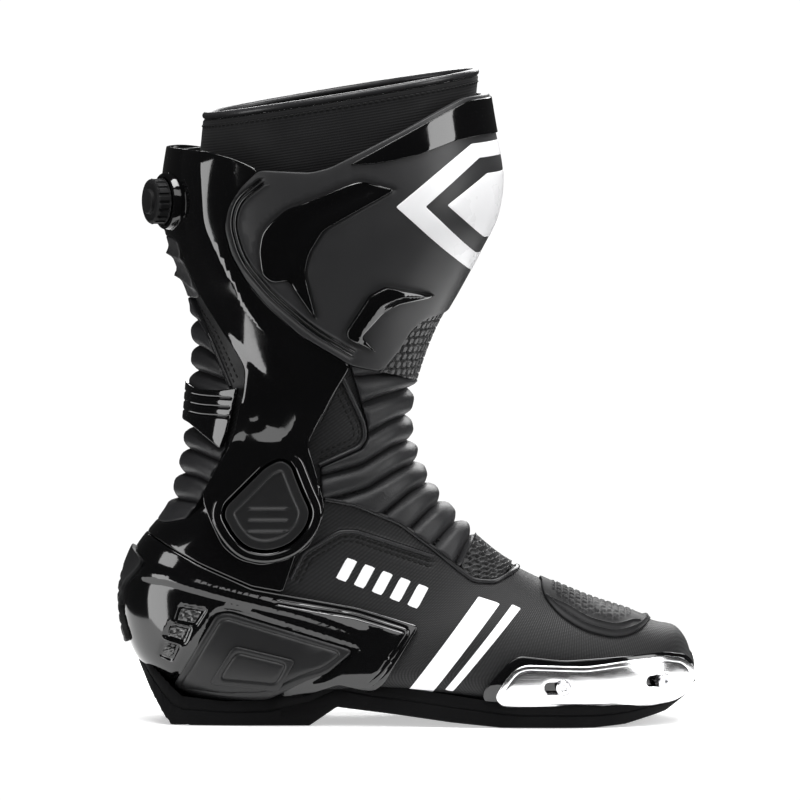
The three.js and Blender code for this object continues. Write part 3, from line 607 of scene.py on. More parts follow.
def panel(
    name, body, slot, material, loops, low, high, bevel=0.8, spacing=3.0, relief=(), replaces=(),
    place=None
):
    """A closed shell over part of the form, with rounded edges and relief on its outer face."""
    insets = [inset * bevel for _, inset in BEVEL_STEPS]
    drops = np.array([drop * bevel for drop, _ in BEVEL_STEPS] + [0.0])
    guides = [g for r in relief for g in r.guides]
    s, a, number, faces, loop_ids = surface(loops, insets, spacing, guides)
    base = form(s, a)
    height = number_or_call(high, base, s, a) - drops[number]
    for r in relief:
        height = height + r(base, s, a) * np.where(number == 0, 0.0, 1.0)
    place = place or on_form
    top = place(base, normals(s, a), height)
    low_s, low_a, _, low_faces, low_ids = surface(loops, [0.0], spacing * 3, [])
    low_base = form(low_s, low_a)
    floor = number_or_call(low, low_base, low_s, low_a)
    bottom = place(low_base, normals(low_s, low_a), floor)
    n = len(top)
    walls = []
    for upper, lower in zip(loop_ids, low_ids):
        for k in range(len(upper)):
            j = (k + 1) % len(upper)
            walls.append((upper[k], upper[j], n + lower[j], n + lower[k]))
    everything = [tuple(f) for f in faces] + [tuple(n + f[::-1]) for f in low_faces] + walls
    uv = np.vstack([arc_uv(s, a), arc_uv(low_s, low_a)])
    made = mesh_object(name, np.vstack([top, bottom]), everything, uv)
    return settle(made, body, material, replaces)


def sweep(name, body, material, points, ups, radius, sides=10, closed=False, flat=1.0):
    """A round bead along points, squashed along its ups by flat."""
    points, ups = np.asarray(points), np.asarray(ups)
    if closed:
        along = np.roll(points, -1, 0) - np.roll(points, 1, 0)
    else:
        along = np.gradient(points, axis=0)
    along = unit(along)
    across = unit(np.cross(along, ups))
    up = unit(np.cross(across, along))
    turns = np.linspace(0, 2 * math.pi, sides, endpoint=False)
    rings = [
        points + radius * (across * math.cos(b) + up * math.sin(b) * flat)
        for b in turns
    ]
    stack = np.stack(rings, 1).reshape(-1, 3)
    n = len(points)
    faces = ring_faces(n, sides, n if closed else n - 1)
    if not closed:
        faces.append(tuple(range(sides)))
        faces.append(tuple(range((n - 1) * sides, n * sides)))
    return settle(mesh_object(name, stack, faces), body, material)


def bead(name, body, material, sa, height, radius):
    """A bead lying on the form along (s, a) points."""
    out = normals(sa[:, 0], sa[:, 1])
    points = form(sa[:, 0], sa[:, 1]) + out * height
    return sweep(name, body, material, points, out, radius)


STITCH = {"pitch": 3.3, "length": 2.3, "radius": 0.5}  # millimetres


def stitches(name, body, material, lines):
    """Rows of thread on the form; each line is (points in space, outward directions)."""
    pitch, scale = STITCH["pitch"], STITCH["length"] / 2
    turns = np.linspace(0, 2 * math.pi, 6, endpoint=False)
    profile = [(-1.0, 0.25), (-0.72, 0.85), (0.0, 1.0), (0.72, 0.85), (1.0, 0.25)]
    points, faces = [], []
    for path, outs in lines:
        length = np.concatenate([[0], np.cumsum(np.linalg.norm(np.diff(path, axis=0), axis=1))])
        places = np.arange(pitch * 0.5, length[-1] - pitch * 0.4, pitch)
        centres = np.stack([np.interp(places, length, path[:, k]) for k in range(3)], 1)
        ahead = np.stack([np.interp(places + 0.4, length, path[:, k]) for k in range(3)], 1)
        ups = unit(np.stack([np.interp(places, length, outs[:, k]) for k in range(3)], 1))
        along = unit(ahead - centres)
        across = unit(np.cross(along, ups))
        for c, t, x, u in zip(centres, along, across, ups):
            start = len(points)
            for reach, girth in profile:
                r = STITCH["radius"] * girth
                middle = c + t * reach * scale
                points.extend(middle + r * (x * math.cos(b) + 0.8 * u * math.sin(b)) for b in turns)
            for i in range(len(profile) - 1):
                for k in range(6):
                    m = (k + 1) % 6
                    p, q = start + i * 6, start + (i + 1) * 6
                    faces.append((p + k, p + m, q + m, q + k))
            faces.append(tuple(start + k for k in range(6)))
            faces.append(tuple(start + 24 + k for k in range(6)))
    return settle(mesh_object(name, points, faces), body, material)


def thread_line(sa, height):
    """A line of thread at a height over (s, a) points, for stitches()."""
    out = normals(sa[:, 0], sa[:, 1])
    return form(sa[:, 0], sa[:, 1]) + out * height, out


def lathe(profile, origin, axis, segments=48, ripple=None):
    """Points and faces of a profile of (radius, height) turned about an axis from an origin."""
    axis = unit(np.asarray(axis, float))
    side = unit(np.cross(axis, [0, 0, 1.0] if abs(axis[2]) < 0.9 else [1.0, 0, 0]))
    other = np.cross(axis, side)
    turns = np.linspace(0, 2 * math.pi, segments, endpoint=False)
    points, faces = [], []
    for i, (r, h) in enumerate(profile):
        for b in turns:
            reach = r + (ripple(b, r, h) if ripple else 0)
            points.append(
                np.asarray(origin) + axis * h + (side * math.cos(b) + other * math.sin(b)) * reach
            )
        if i:
            for k in range(segments):
                m = (k + 1) % segments
                p, q = (i - 1) * segments, i * segments
                faces.append((p + k, p + m, q + m, q + k))
    faces.append(tuple(range(segments)))
    faces.append(tuple(range((len(profile) - 1) * segments, len(profile) * segments)))
    return points, faces


def joined(parts):
    points, faces = [], []
    for more_points, more_faces in parts:
        start = len(points)
        points.extend(more_points)
        faces.extend(tuple(start + i for i in f) for f in more_faces)
    return points, faces


# ---- Materials

class Finish:
    """A Principled material built up node by node."""

    def __init__(self, name, color, roughness, metallic=0.0, specular=0.5, coat=0.0, coat_roughness=0.05):
        self.material = bpy.data.materials.new(name)
        self.material.use_nodes = True
        self.tree = self.material.node_tree
        self.shader = self.tree.nodes["Principled BSDF"]
        self.set("Base Color", (*color, 1))
        self.set("Roughness", roughness)
        self.set("Metallic", metallic)
        self.set("Specular IOR Level", specular)
        self.set("Coat Weight", coat)
        self.set("Coat Roughness", coat_roughness)
        self.color = color
        self.bump = None
        texture = self.node("ShaderNodeTexCoord")
        self.object = texture.outputs["Object"]
        self.uv = texture.outputs["UV"]

    def set(self, name, value):
        self.shader.inputs[name].default_value = value

    def node(self, kind, links=(), **values):
        made = self.tree.nodes.new(kind)
        for key, value in values.items():
            if key in made.inputs:
                made.inputs[key].default_value = value
            else:
                setattr(made, key, value)
        for socket, source in dict(links).items():
            self.tree.links.new(source, made.inputs[socket])
        return made

    def turned(self, source, angles=(0, 0, 0), scale=(1, 1, 1)):
        made = self.node("ShaderNodeMapping", {"Vector": source})
        made.inputs["Rotation"].default_value = angles
        made.inputs["Scale"].default_value = scale
        return made.outputs["Vector"]

    def noise(self, scale, detail=4.0, source=None, **more):
        made = self.node("ShaderNodeTexNoise", {"Vector": source or self.object}, **more)
        made.inputs["Scale"].default_value = scale
        made.inputs["Detail"].default_value = detail
        return made.outputs["Fac"]

    def cells(self, scale, source=None, feature="F1", randomness=1.0):
        made = self.node("ShaderNodeTexVoronoi", {"Vector": source or self.object}, feature=feature)
        made.inputs["Scale"].default_value = scale
        made.inputs["Randomness"].default_value = randomness
        return made.outputs["Distance"]

    def bands(self, period_mm, source, direction="X", distortion=0.0):
        made = self.node("ShaderNodeTexWave", {"Vector": source}, bands_direction=direction)
        made.inputs["Scale"].default_value = 2 * math.pi / (20 * period_mm * MM)
        made.inputs["Distortion"].default_value = distortion
        return made.outputs["Fac"]

    def math(self, operation, first, second):
        made = self.tree.nodes.new("ShaderNodeMath")
        made.operation = operation
        for socket, value in zip(made.inputs, (first, second)):
            if isinstance(value, (int, float)):
                socket.default_value = value
            else:
                self.tree.links.new(value, socket)
        return made.outputs[0]

    def span(self, source, low, high, new_low, new_high):
        made = self.node("ShaderNodeMapRange", {"Value": source})
        for key, value in (
            ("From Min", low), ("From Max", high), ("To Min", new_low), ("To Max", new_high)
        ):
            made.inputs[key].default_value = value
        return made.outputs["Result"]

    def relief(self, height, depth_mm, strength=1.0):
        made = self.node("ShaderNodeBump", {"Height": height})
        made.inputs["Distance"].default_value = depth_mm * MM
        made.inputs["Strength"].default_value = strength
        if self.bump:
            self.tree.links.new(self.bump, made.inputs["Normal"])
        self.bump = made.outputs["Normal"]
        self.tree.links.new(self.bump, self.shader.inputs["Normal"])
        return self

    def vary_roughness(self, source, low, high, rough_low, rough_high):
        result = self.span(source, low, high, rough_low, rough_high)
        self.tree.links.new(result, self.shader.inputs["Roughness"])
        return self

    def vary_color(self, source, low, high, dark, light):
        made = self.node("ShaderNodeMix", data_type="RGBA")
        factor = self.span(source, low, high, 0.0, 1.0)
        self.tree.links.new(factor, made.inputs["Factor"])
        made.inputs[6].default_value = (*[c * dark for c in self.color], 1)
        made.inputs[7].default_value = (*[c * light for c in self.color], 1)
        self.tree.links.new(made.outputs[2], self.shader.inputs["Base Color"])
        return self


def leather_finish(name, color=(0.012, 0.012, 0.0125), rough=(0.42, 0.6), grain=850, depth=0.16):
    made = Finish(name, color, 0.5, specular=0.28)
    made.vary_roughness(made.noise(55, 5), 0.3, 0.7, *rough)
    made.vary_color(made.noise(22, 6), 0.3, 0.75, 0.75, 1.5)
    made.relief(made.cells(grain), depth, 0.55)
    made.relief(made.noise(grain * 2.4, 3), depth * 0.5, 0.4)
    made.relief(made.noise(60, 3), 0.5, 0.25)
    return made.material


def weave_finish(name, color=(0.011, 0.011, 0.0115)):
    """Microfibre printed with a fine slanting weave."""
    made = Finish(name, color, 0.55, specular=0.25)
    slanted = made.turned(made.uv, (0, 0, math.radians(38)))
    ribs = made.bands(1.5, slanted, "X")
    cross = made.bands(2.6, slanted, "Y", 0.4)
    cloth = made.math("MULTIPLY", ribs, made.span(cross, 0, 1, 0.55, 1))
    made.vary_roughness(cloth, 0, 1, 0.72, 0.4)
    made.vary_color(
        made.math("ADD", cloth, made.span(made.noise(30, 4), 0, 1, -0.2, 0.2)), 0, 1, 0.65, 1.5
    )
    made.relief(cloth, 0.2, 0.5)
    made.relief(made.noise(90, 3), 0.4, 0.2)
    return made.material


def gloss_finish(name, color=(0.002, 0.002, 0.0022), rough=0.05):
    made = Finish(name, color, rough, specular=0.5, coat=0.35, coat_roughness=0.03)
    made.vary_roughness(made.noise(35, 6), 0.35, 0.8, rough, rough + 0.07)
    made.vary_color(made.noise(14, 3), 0.3, 0.7, 0.8, 1.3)
    made.relief(made.noise(18, 2), 0.15, 0.08)
    made.relief(made.noise(1400, 2), 0.02, 0.12)
    return made.material


def satin_finish(name, color=(0.026, 0.026, 0.027), rough=(0.34, 0.42)):
    made = Finish(name, color, 0.4, specular=0.3)
    made.vary_roughness(made.noise(60, 6), 0.3, 0.7, *rough)
    made.vary_color(made.noise(16, 4), 0.3, 0.7, 0.88, 1.15)
    made.relief(made.cells(2600), 0.03, 0.5)
    made.relief(made.noise(25, 2), 0.4, 0.1)
    return made.material


def rubber_finish(name, color=(0.01, 0.01, 0.0105), specular=0.12):
    made = Finish(name, color, 0.6, specular=specular)
    made.vary_roughness(made.noise(45, 6), 0.3, 0.75, 0.48, 0.72)
    made.vary_color(made.noise(20, 5), 0.3, 0.75, 0.8, 1.5)
    made.relief(made.noise(1200, 4), 0.06, 0.5)
    return made.material


def steel_finish(name, color=(0.86, 0.86, 0.87), rough=(0.16, 0.24), brush=None):
    made = Finish(name, color, 0.12, metallic=1.0)
    source = made.turned(made.object, (0, 0, 0), brush or (60, 60, 2400))
    streaks = made.noise(1.0, 2, source)
    made.vary_roughness(streaks, 0.35, 0.65, *rough)
    made.vary_color(made.noise(25, 5), 0.35, 0.75, 0.86, 1.05)
    made.relief(streaks, 0.006, 0.35)
    return made.material


def cloth_finish(name, color=(0.006, 0.006, 0.0065), period=1.5, rough=0.75):
    """Fine ribbed cloth, its ribs lying round the leg."""
    made = Finish(name, color, rough, specular=0.2)
    made.set("Sheen Weight", 0.05)
    made.set("Sheen Roughness", 0.5)
    ribs = made.bands(period, made.uv, "X", 0.6)
    threads = made.bands(period * 0.6, made.uv, "Y", 0.6)
    cloth = made.math("MULTIPLY", ribs, made.span(threads, 0, 1, 0.7, 1))
    made.vary_color(cloth, 0, 1, 0.75, 1.4)
    made.vary_roughness(made.noise(50, 4), 0.3, 0.7, rough - 0.12, rough + 0.1)
    made.relief(cloth, 0.16, 0.6)
    return made.material


def mesh_lining_finish(name, color=(0.02, 0.02, 0.022)):
    made = Finish(name, color, 0.9, specular=0.2)
    holes = made.cells(420, made.uv, randomness=0.15)
    made.vary_color(holes, 0.15, 0.55, 0.3, 1.6)
    made.relief(holes, 0.5, 0.7)
    made.vary_roughness(made.noise(40, 3), 0.3, 0.7, 0.82, 0.97)
    return made.material


def print_finish(name, color=(0.86, 0.86, 0.87)):
    made = Finish(name, color, 0.3, specular=0.5)
    made.vary_roughness(made.noise(50, 5), 0.3, 0.7, 0.24, 0.36)
    made.vary_color(made.noise(24, 5), 0.35, 0.75, 0.95, 1.02)
    made.relief(made.cells(2400), 0.02, 0.3)
    return made.material


LEATHER = leather_finish("leather")
SOFT_LEATHER = leather_finish("soft_leather", (0.015, 0.015, 0.016), (0.4, 0.54), 1000, 0.12)
PIPING = leather_finish("piping_leather", (0.02, 0.02, 0.021), (0.22, 0.36), 1100, 0.05)
WEAVE = weave_finish("woven_microfibre")
GLOSS = gloss_finish("gloss_black")
SATIN = satin_finish("satin_black")
SATIN_DARK = satin_finish("satin_dark", (0.012, 0.012, 0.0125), (0.3, 0.4))
RUBBER = rubber_finish("moulded_rubber")
STUD_RUBBER = satin_finish("moulded_studs", (0.055, 0.055, 0.056), (0.3, 0.42))
SOLE = rubber_finish("sole_rubber", (0.003, 0.003, 0.0032), 0.04)
STEEL = steel_finish("polished_steel")
SCREW_STEEL = steel_finish("screw_steel", (0.72, 0.72, 0.74), (0.2, 0.3), (900, 900, 900))
CLOTH = cloth_finish("collar_cloth")
TAPE = cloth_finish("zip_tape_cloth", (0.012, 0.012, 0.013), 0.9, 0.8)
LINING = mesh_lining_finish("mesh_lining")
FOAM = mesh_lining_finish("footbed_cloth", (0.03, 0.03, 0.034))
PRINT = print_finish("white_print")
VENT = steel_finish("vent_grille", (0.1, 0.1, 0.1), (0.3, 0.4), (900, 900, 900))
THREAD = leather_finish("thread", (0.002, 0.002, 0.002), (0.6, 0.75), 3000, 0.03)


# ---- Camera, lights and floor

CAMERA = {"distance": 6.0, "elevation": 3.8, "frame": 0.428}
AIM = Vector((-0.0036, 0, 0.1715))


def make_camera():
    lens = bpy.data.cameras.new("camera")
    lens.sensor_width = 36
    lens.lens = 36 * CAMERA["distance"] / CAMERA["frame"]
    lens.clip_end = 60
    camera = bpy.data.objects.new("camera", lens)
    bpy.context.scene.collection.objects.link(camera)
    tilt = math.radians(CAMERA["elevation"])
    back = Vector((0, -math.cos(tilt), math.sin(tilt))) * CAMERA["distance"]
    camera.location = AIM + back
    camera.rotation_euler = (math.pi / 2 - tilt, 0, 0)
    bpy.context.scene.camera = camera


def area_light(name, place, target, size, power):
    lamp = bpy.data.lights.new(name, "AREA")
    lamp.shape = "RECTANGLE"
    lamp.size, lamp.size_y = size
    lamp.energy = power
    made = bpy.data.objects.new(name, lamp)
    made.location = place
    made.rotation_euler = (Vector(target) - Vector(place)).to_track_quat("-Z", "Y").to_euler()
    bpy.context.scene.collection.objects.link(made)


def make_studio():
    bpy.context.scene.view_settings.view_transform = "Standard"
    area_light("left", (-1.5, -0.8, 0.05), (-0.05, 0, 0.18), (0.7, 1.3), 15)
    area_light("right", (1.5, -0.7, 0.6), (0, 0, 0.15), (0.7, 1.3), 17)
    area_light("front_top", (0.15, -1.35, 1.25), (0, 0, 0.1), (1.7, 0.7), 9)
    area_light("top", (0.15, -0.2, 1.6), (0, 0, 0), (1.5, 0.8), 42)
    area_light("back", (0.4, 1.6, 1.0), (0, 0, 0.2), (1.4, 0.9), 24)
    world = bpy.data.worlds.new("studio")
    bpy.context.scene.world = world
    world.use_nodes = True
    nodes, links = world.node_tree.nodes, world.node_tree.links
    shown = nodes["Background"]
    shown.inputs["Color"].default_value = (1, 1, 1, 1)
    shown.inputs["Strength"].default_value = 1.05
    unseen = nodes.new("ShaderNodeBackground")
    unseen.inputs["Color"].default_value = (1, 1, 1, 1)
    unseen.inputs["Strength"].default_value = 0.03
    path = nodes.new("ShaderNodeLightPath")
    mix = nodes.new("ShaderNodeMixShader")
    links.new(path.outputs["Is Camera Ray"], mix.inputs["Fac"])
    links.new(unseen.outputs[0], mix.inputs[1])
    links.new(shown.outputs[0], mix.inputs[2])
    links.new(mix.outputs[0], nodes["World Output"].inputs["Surface"])
    finish = Finish("floor_white", (0.9, 0.9, 0.9), 0.6, specular=0.1)
    finish.set("Emission Color", (1, 1, 1, 1))
    finish.set("Emission Strength", 0.5)
    corners = [(-0.5, -0.16), (0.5, -0.16), (0.5, 0.4), (-0.5, 0.4)]
    mesh = bpy.data.meshes.new("floor")
    mesh.from_pydata([(x, y, -0.0003) for x, y in corners], [], [(0, 1, 2, 3)])
    mesh.materials.append(finish.material)
    floor = bpy.data.objects.new("floor", mesh)
    bpy.context.scene.collection.objects.link(floor)


make_camera()
make_studio()

# ---- Layers, as heights out from the form, and where a panel's points go

SKIN = (-2.4, 0.0)  # leather and microfibre
LINED = (-5.6, -3.2)
ARMOUR = (0.2, 3.1)


def on_form(base, out, height):
    return base + out * height[:, None]


def flat(level):
    """Sets a panel upright on a plane at a distance out from the middle, instead of on the form."""
    def place(base, out, height):
        return np.stack([base[:, 0], np.sign(base[:, 1]) * (level + height), base[:, 2]], 1)
    return place


def mirrored(sa):
    """A line on the outer side carried on across the front and back down the inner side."""
    first = sa[0].copy()
    first[1] = 0.0
    other = sa[::-1] * [1, -1]
    return resampled(np.vstack([other, [first], sa]), False)


# ---- Foot: sole, footbed and linings

SOLE_TOP = [
    [-146, 38], [-143.5, 38], [-127.5, 22], [-120, 15.5], [-96.5, 13], [-74.5, 14], [-55, 22],
    [-36.5, 27.5], [-18, 23], [1, 20.5], [38.5, 15], [60.5, 12], [103.5, 11.5], [135.5, 14.5],
    [152, 21.5], [154.5, 20.5],
]
SOLE_FLOOR = [
    [-146, 38], [-143.5, 32], [-137.5, 18.5], [-130, 5], [-126, 0], [-52, 0], [-37.5, 10], [-3.5, 6],
    [23, 2.5], [50, 0], [100, 0], [116, 1.5], [138, 7], [149.5, 14], [153.5, 19.6], [154.5, 20.2],
]
# Half-widths of the sole's outline in plan: x, outer side, inner side.
SOLE_PLAN = np.array([
    [-146, 0, 0], [-143, 14, 14], [-134, 27, 27], [-118, 35.5, 35.5], [-90, 38.5, 38.5],
    [-50, 38, 37], [-10, 41.5, 38], [30, 48, 44], [60, 52, 49], [90, 52, 51.5], [115, 45.5, 50.5],
    [133, 32.5, 44], [146, 15, 31], [153, -2, 17], [154.5, -9, 9],
])
SOLE_BLUR = np.linspace(-6, 6, 9)  # the outline is averaged over this reach, which rounds its corners


def groove(x, centre, width):
    return np.exp(-(((x - centre) / width) ** 4))


def tread(x, y):
    """How deep the tread is cut at a place under the sole."""
    rows = (x + 0.35 * np.abs(y) + 200) % 11.0
    cut = groove(rows, 5.5, 1.2)
    heel = smooth(x, -124, -118) * (1 - smooth(x, -66, -60))
    sole = smooth(x, 18, 26) * (1 - smooth(x, 118, 128))
    rim = 1 - smooth(np.abs(y), 27, 31)
    return (heel + sole) * np.maximum(cut * rim, 0.8 * groove(np.abs(y), 32.5, 0.9))


def make_outsole():
    top, low = np.array(SOLE_TOP, float), np.array(SOLE_FLOOR, float)
    xs = np.concatenate(
        [np.linspace(-146, -120, 34), np.arange(-119, 132, 1.0), np.linspace(132, 154.5, 34)]
    )
    lanes = np.linspace(-1, 1, 71)
    rings = []
    for x in xs:
        outer, inner = (np.interp(x + SOLE_BLUR, SOLE_PLAN[:, 0], SOLE_PLAN[:, k]).mean() for k in (1, 2))
        z0, z1 = np.interp(x, low[:, 0], low[:, 1]), np.interp(x, top[:, 0], top[:, 1])
        tall = max(z1 - z0, 0.3)
        middle, half = (inner - outer) / 2, max((inner + outer) / 2, 0.4)
        z0 += 0.8 * abs(math.sin(z0 * 0.9)) * (x < -126.5)
        y = middle + lanes * (half - min(1.6, half * 0.3))
        floor = z0 + 2.6 * tread(np.full(len(y), x), y) * min(1, tall / 8)
        under = np.stack([y, floor], 1)
        sides = []
        for level, reach in (
            (0.05, 0.35), (0.16, 0), (0.5, 0), (0.56, 0.7), (0.62, 0), (0.9, -0.1), (1, 0.7)
        ):
            sides.append((half - min(reach, half * 0.5), z0 + tall * level))
        bed = z0 + min(tall * 0.55, 7.5)
        sides += [(half * 0.93 - min(3, half * 0.3), z1 - 0.6), (max(half - 8, half * 0.4), bed)]
        right = [(middle + h, z) for h, z in sides]
        left = [(middle - h, z) for h, z in sides[::-1]]
        ring = np.vstack([under, right, left])
        rings.append(np.insert(ring, 0, x, axis=1))
    n = len(rings[0])
    faces = ring_faces(len(rings), n, len(rings) - 1)
    faces += [tuple(range(n)), tuple(range((len(rings) - 1) * n, len(rings) * n))]
    made = mesh_object("outsole", np.vstack(rings), faces, sharp=35)
    settle(made, "foot", SOLE, ("outsole", "sole_shank"))


def make_foot_inside():
    bed = [[-150, -5], [150, -5], [150, 22], [50, 20.5], [-20, 26.5], [-100, 23.5], [-150, 26.5]]
    loops = loops_of(bed, corner=4)
    made = panel("footbed", "foot", "foam", FOAM, loops, -7.2, -6.2, 0.3, 5.0, replaces=("footbed",))
    lining = [*FOOT_TOP[:7], [27, 83], [60, 87], *BELOW]
    panel("lining_foot", "foot", "lining", LINING, loops_of(lining), *LINED, 0.5, 4.5,
          replaces=("lining_foot",))


# ---- Foot: upper

FOOT_TOP = [
    [-170, 104], [-128, 104], [-106, 110], [-80, 113], [-45.5, 121.5], [-28, 118.5], [-5, 108],
    [13.5, 94], [27.6, 83], [35, 75.8], [49, 75.8], [60, 87], [75, 110],
]
BELOW = [[190, 90], [190, -30], [-190, -30]]
QUARTER_EDGE = [
    [68, 88], [59, 80], [47, 74.5], [35, 75.5], [27, 81.5], [13, 93], [-4.5, 106.5], [-28, 117],
    [-44, 120]
]
OVERLAY = [
    [-62, 79], [-55, 93], [-36, 104], [-27.5, 104], [14, 89.5], [36, 76], [60, 70], [28, 58], [8, 53],
    [-57, 68],
]
SLASH = [[1, 20], [13, 18], [49.5, 65], [38, 68.5]]


def make_upper():
    lip = mirrored(trail(QUARTER_EDGE))
    seam = trail(OVERLAY[:5])
    seams = [beside(lip, d, False) for d in (-4.6, -8.2)]
    seams += [beside(seam, d, False) for d in (-2.8, -5.4)]
    relief = [Line(beside(seam, 1.5, False), 1.0, 0.5)]
    relief += [Line(path, 0.75, -0.55) for path in seams]
    panel("upper", "foot", "microfibre", WEAVE, loops_of(FOOT_TOP + BELOW, corner=4), *SKIN, 0.7, 3.0,
          relief, ("vamp", "quarter_outer", "quarter_inner"))
    bead("quarter_piping", "foot", PIPING, beside(lip, -1.4, False), 0.4, 1.3)
    bead("overlay_piping", "foot", PIPING, seam, 0.35, 1.0)
    stitches("upper_stitching", "foot", THREAD, [thread_line(path, -0.15) for path in seams])


def make_prints():
    """Plain slanted bars, printed where a boot of this kind is lettered."""
    bars = [SLASH]
    bars.append([[20, 20], [24.5, 19.5], [60.5, 62.5], [56, 64.5]])
    for i in range(5):
        x = -38 + 9.5 * i
        bars.append(
            [[x, 79 - 3.6 * i], [x + 5.5, 77 - 3.6 * i], [x + 11.5, 88 - 3.6 * i], [x + 6, 90 - 3.6 * i]]
        )
    for i, bar in enumerate(bars):
        panel(
            f"print_bar_{i + 1}", "foot", "microfibre", PRINT, loops_of(bar, "outer", corner=0.4), -0.05,
            0.22, 0.12, 4.0
        )


def hexagons(x, y, pitch):
    """Distances from the middle of the nearest cell of a hexagonal grid, counted towards its sides."""
    high = math.sqrt(3)
    gaps = []
    for dx, dy in ((0, 0), (0.5, high / 2)):
        hx = (x / pitch - dx + 0.5) % 1 - 0.5
        hy = (y / pitch - dy + high / 2) % high - high / 2
        gaps.append(np.maximum(np.abs(hx), np.abs(hx) / 2 + np.abs(hy) * high / 2))
    return np.min(gaps, axis=0) * pitch


def honeycomb(pitch, wall, rise, tilt):
    """Open hexagonal cells with raised walls."""
    def field(points, s, a):
        u, v = arc_uv(s, a).T
        x, y = u * math.cos(tilt) - v * math.sin(tilt), u * math.sin(tilt) + v * math.cos(tilt)
        return rise * smooth(hexagons(x, y, pitch), pitch / 2 - wall, pitch / 2 - wall * 0.35)
    return Field(field)


def make_instep():
    outline = [[37, 101.5], [28.1, 83.9], [35.4, 76.6], [48.6, 76.6], [59.2, 87.2], [52, 110]]
    panel("instep_hex_panel", "foot", "moulded_rubber", STUD_RUBBER, loops_of(outline), *SKIN, 0.5, 0.5,
          [honeycomb(6.0, 1.0, 1.7, 0.5)], ("instep_hex_panel",))


# ---- Foot: heel armour

CUP = [
    [-165, 100], [-139, 100], [-131.5, 97], [-110, 86], [-82.5, 74], [-66.5, 71], [-27, 63.5],
    [6.5, 53], [-11, 25.5], [-18, 20], [-36.5, 24], [-55, 18], [-74.5, 11], [-96.5, 10],
    [-120, 12], [-127.5, 18], [-143.5, 34], [-165, 34],
]
YOKE = [
    [-165, 105.5], [-127.5, 105.5], [-116, 108.5], [-104.5, 119.5], [-57, 119.5], [-45.5, 108.5],
    [-59.5, 91.5], [-66, 71.6], [-82.5, 74.6], [-110, 86.6], [-131.5, 97.6], [-139, 100.6], [-165, 100.6],
]
SIDE_PANEL = [
    [-101, 60], [-94.5, 61], [-28, 40.5], [-42, 29], [-55, 25], [-74.5, 17], [-96.5, 16], [-119, 18.5],
    [-123, 23],
]
WINDOW = [[-91.5, 43.5], [-59, 35.5], [-67.5, 21.5], [-104, 24.5]]
VENTS = [
    [[-120, 64], [-107, 62], [-112, 54], [-122.5, 56]],
    [[-125, 54.5], [-115, 52.5], [-118, 45], [-127.5, 48]],
    [[-128.5, 44], [-121, 42.5], [-124, 36], [-130, 38.5]],
]
BUMPER = [
    [-165, 93.5], [-145.5, 94], [-138, 86.5], [-139, 83.5], [-147.5, 73.5], [-149.5, 63.5], [-148, 55],
    [-144.5, 43.5], [-165, 43.5],
]


def make_heel():
    relief = []
    for side in ("outer", "inner"):
        crest = trail([[-138, 80], [-126, 79], [-99, 71.5], [-56, 61], [-24, 50]], side, 6)
        rim = trail([[-68, 66.5], [-28, 59], [0.5, 50.2], [-14.5, 28], [-19, 24.5]], side, 3)
        relief += [Line(crest, 4.5, 1.5)]
        relief += [Line(beside(rim, d, False), 0.6, -0.45) for d in (-1.3, 1.3)]
        relief.append(Step(loops_of(grown(SIDE_PANEL, 2.5), side, corner=4), 1.6, -1.3))
    relief += [Step(loops_of(grown(vent, 0.8), "outer", corner=1.5), 0.6, -0.9) for vent in VENTS]
    panel(
        "heel_cup", "foot", "gloss_shell", GLOSS, loops_of(CUP, corner=3), *ARMOUR, 1.3, 1.6, relief,
        ("heel_cup",)
    )
    panel(
        "heel_yoke", "foot", "gloss_shell", GLOSS, loops_of(YOKE, corner=2), *ARMOUR, 1.2, 1.7, (),
        ("heel_yoke",)
    )
    round_piece(
        "pivot_boss", "foot", GLOSS,
        [(5.6, 36), (24, 36), (24, 45), (23.4, 45.6), (5.6, 45.6)]
    )
    for side in SIDES:
        inner_edge = Line(trail(grown(SIDE_PANEL, -3.5), side, 4, True), 0.8, -0.7, True)
        panel(
            f"heel_side_panel_{side}", "foot", "satin_shell", SATIN_DARK,
            loops_of(SIDE_PANEL, side, corner=4), 1.9, 4.3, 1.5, 2.2, [inner_edge],
            (f"heel_side_panel_{side}",)
        )
    badge = trail(grown(WINDOW, -3), "outer", 3, True)
    panel(
        "heel_panel_badge", "foot", "gloss_shell", SATIN_DARK, loops_of(WINDOW, "outer", corner=3), 4.2,
        5.9, 0.9, 2.0, [Line(badge, 0.8, -0.8, True)], ("heel_panel_badge",)
    )
    for name, vent in zip(("top", "middle", "bottom"), VENTS):
        panel(
            f"heel_vent_{name}", "foot", "gloss_shell", VENT,
            loops_of(grown(vent, -1), "outer", corner=1), 2.1, 2.8, 0.2, 0.6, [grille()],
            (f"heel_vent_{name}",)
        )
    panel("heel_bumper", "foot", "moulded_rubber", RUBBER, loops_of(BUMPER, corner=3), 2.9, 5.6, 1.2, 1.5,
          [Field(bumper_grooves)], ("heel_bumper",))


def bumper_grooves(points, s, a):
    return -0.7 * groove(points[:, 2] % 5.5, 2.75, 0.8) * smooth(-points[:, 0], 146, 148)


def grille():
    """Crossed slanting wires."""
    def field(points, s, a):
        x, z = points[:, 0], points[:, 2]
        wires = [groove((x * c + z * d) % 3.4, 1.7, 0.6) for c, d in ((0.95, 0.3), (0.3, -0.95))]
        return 0.7 * np.maximum(*wires)
    return Field(field)


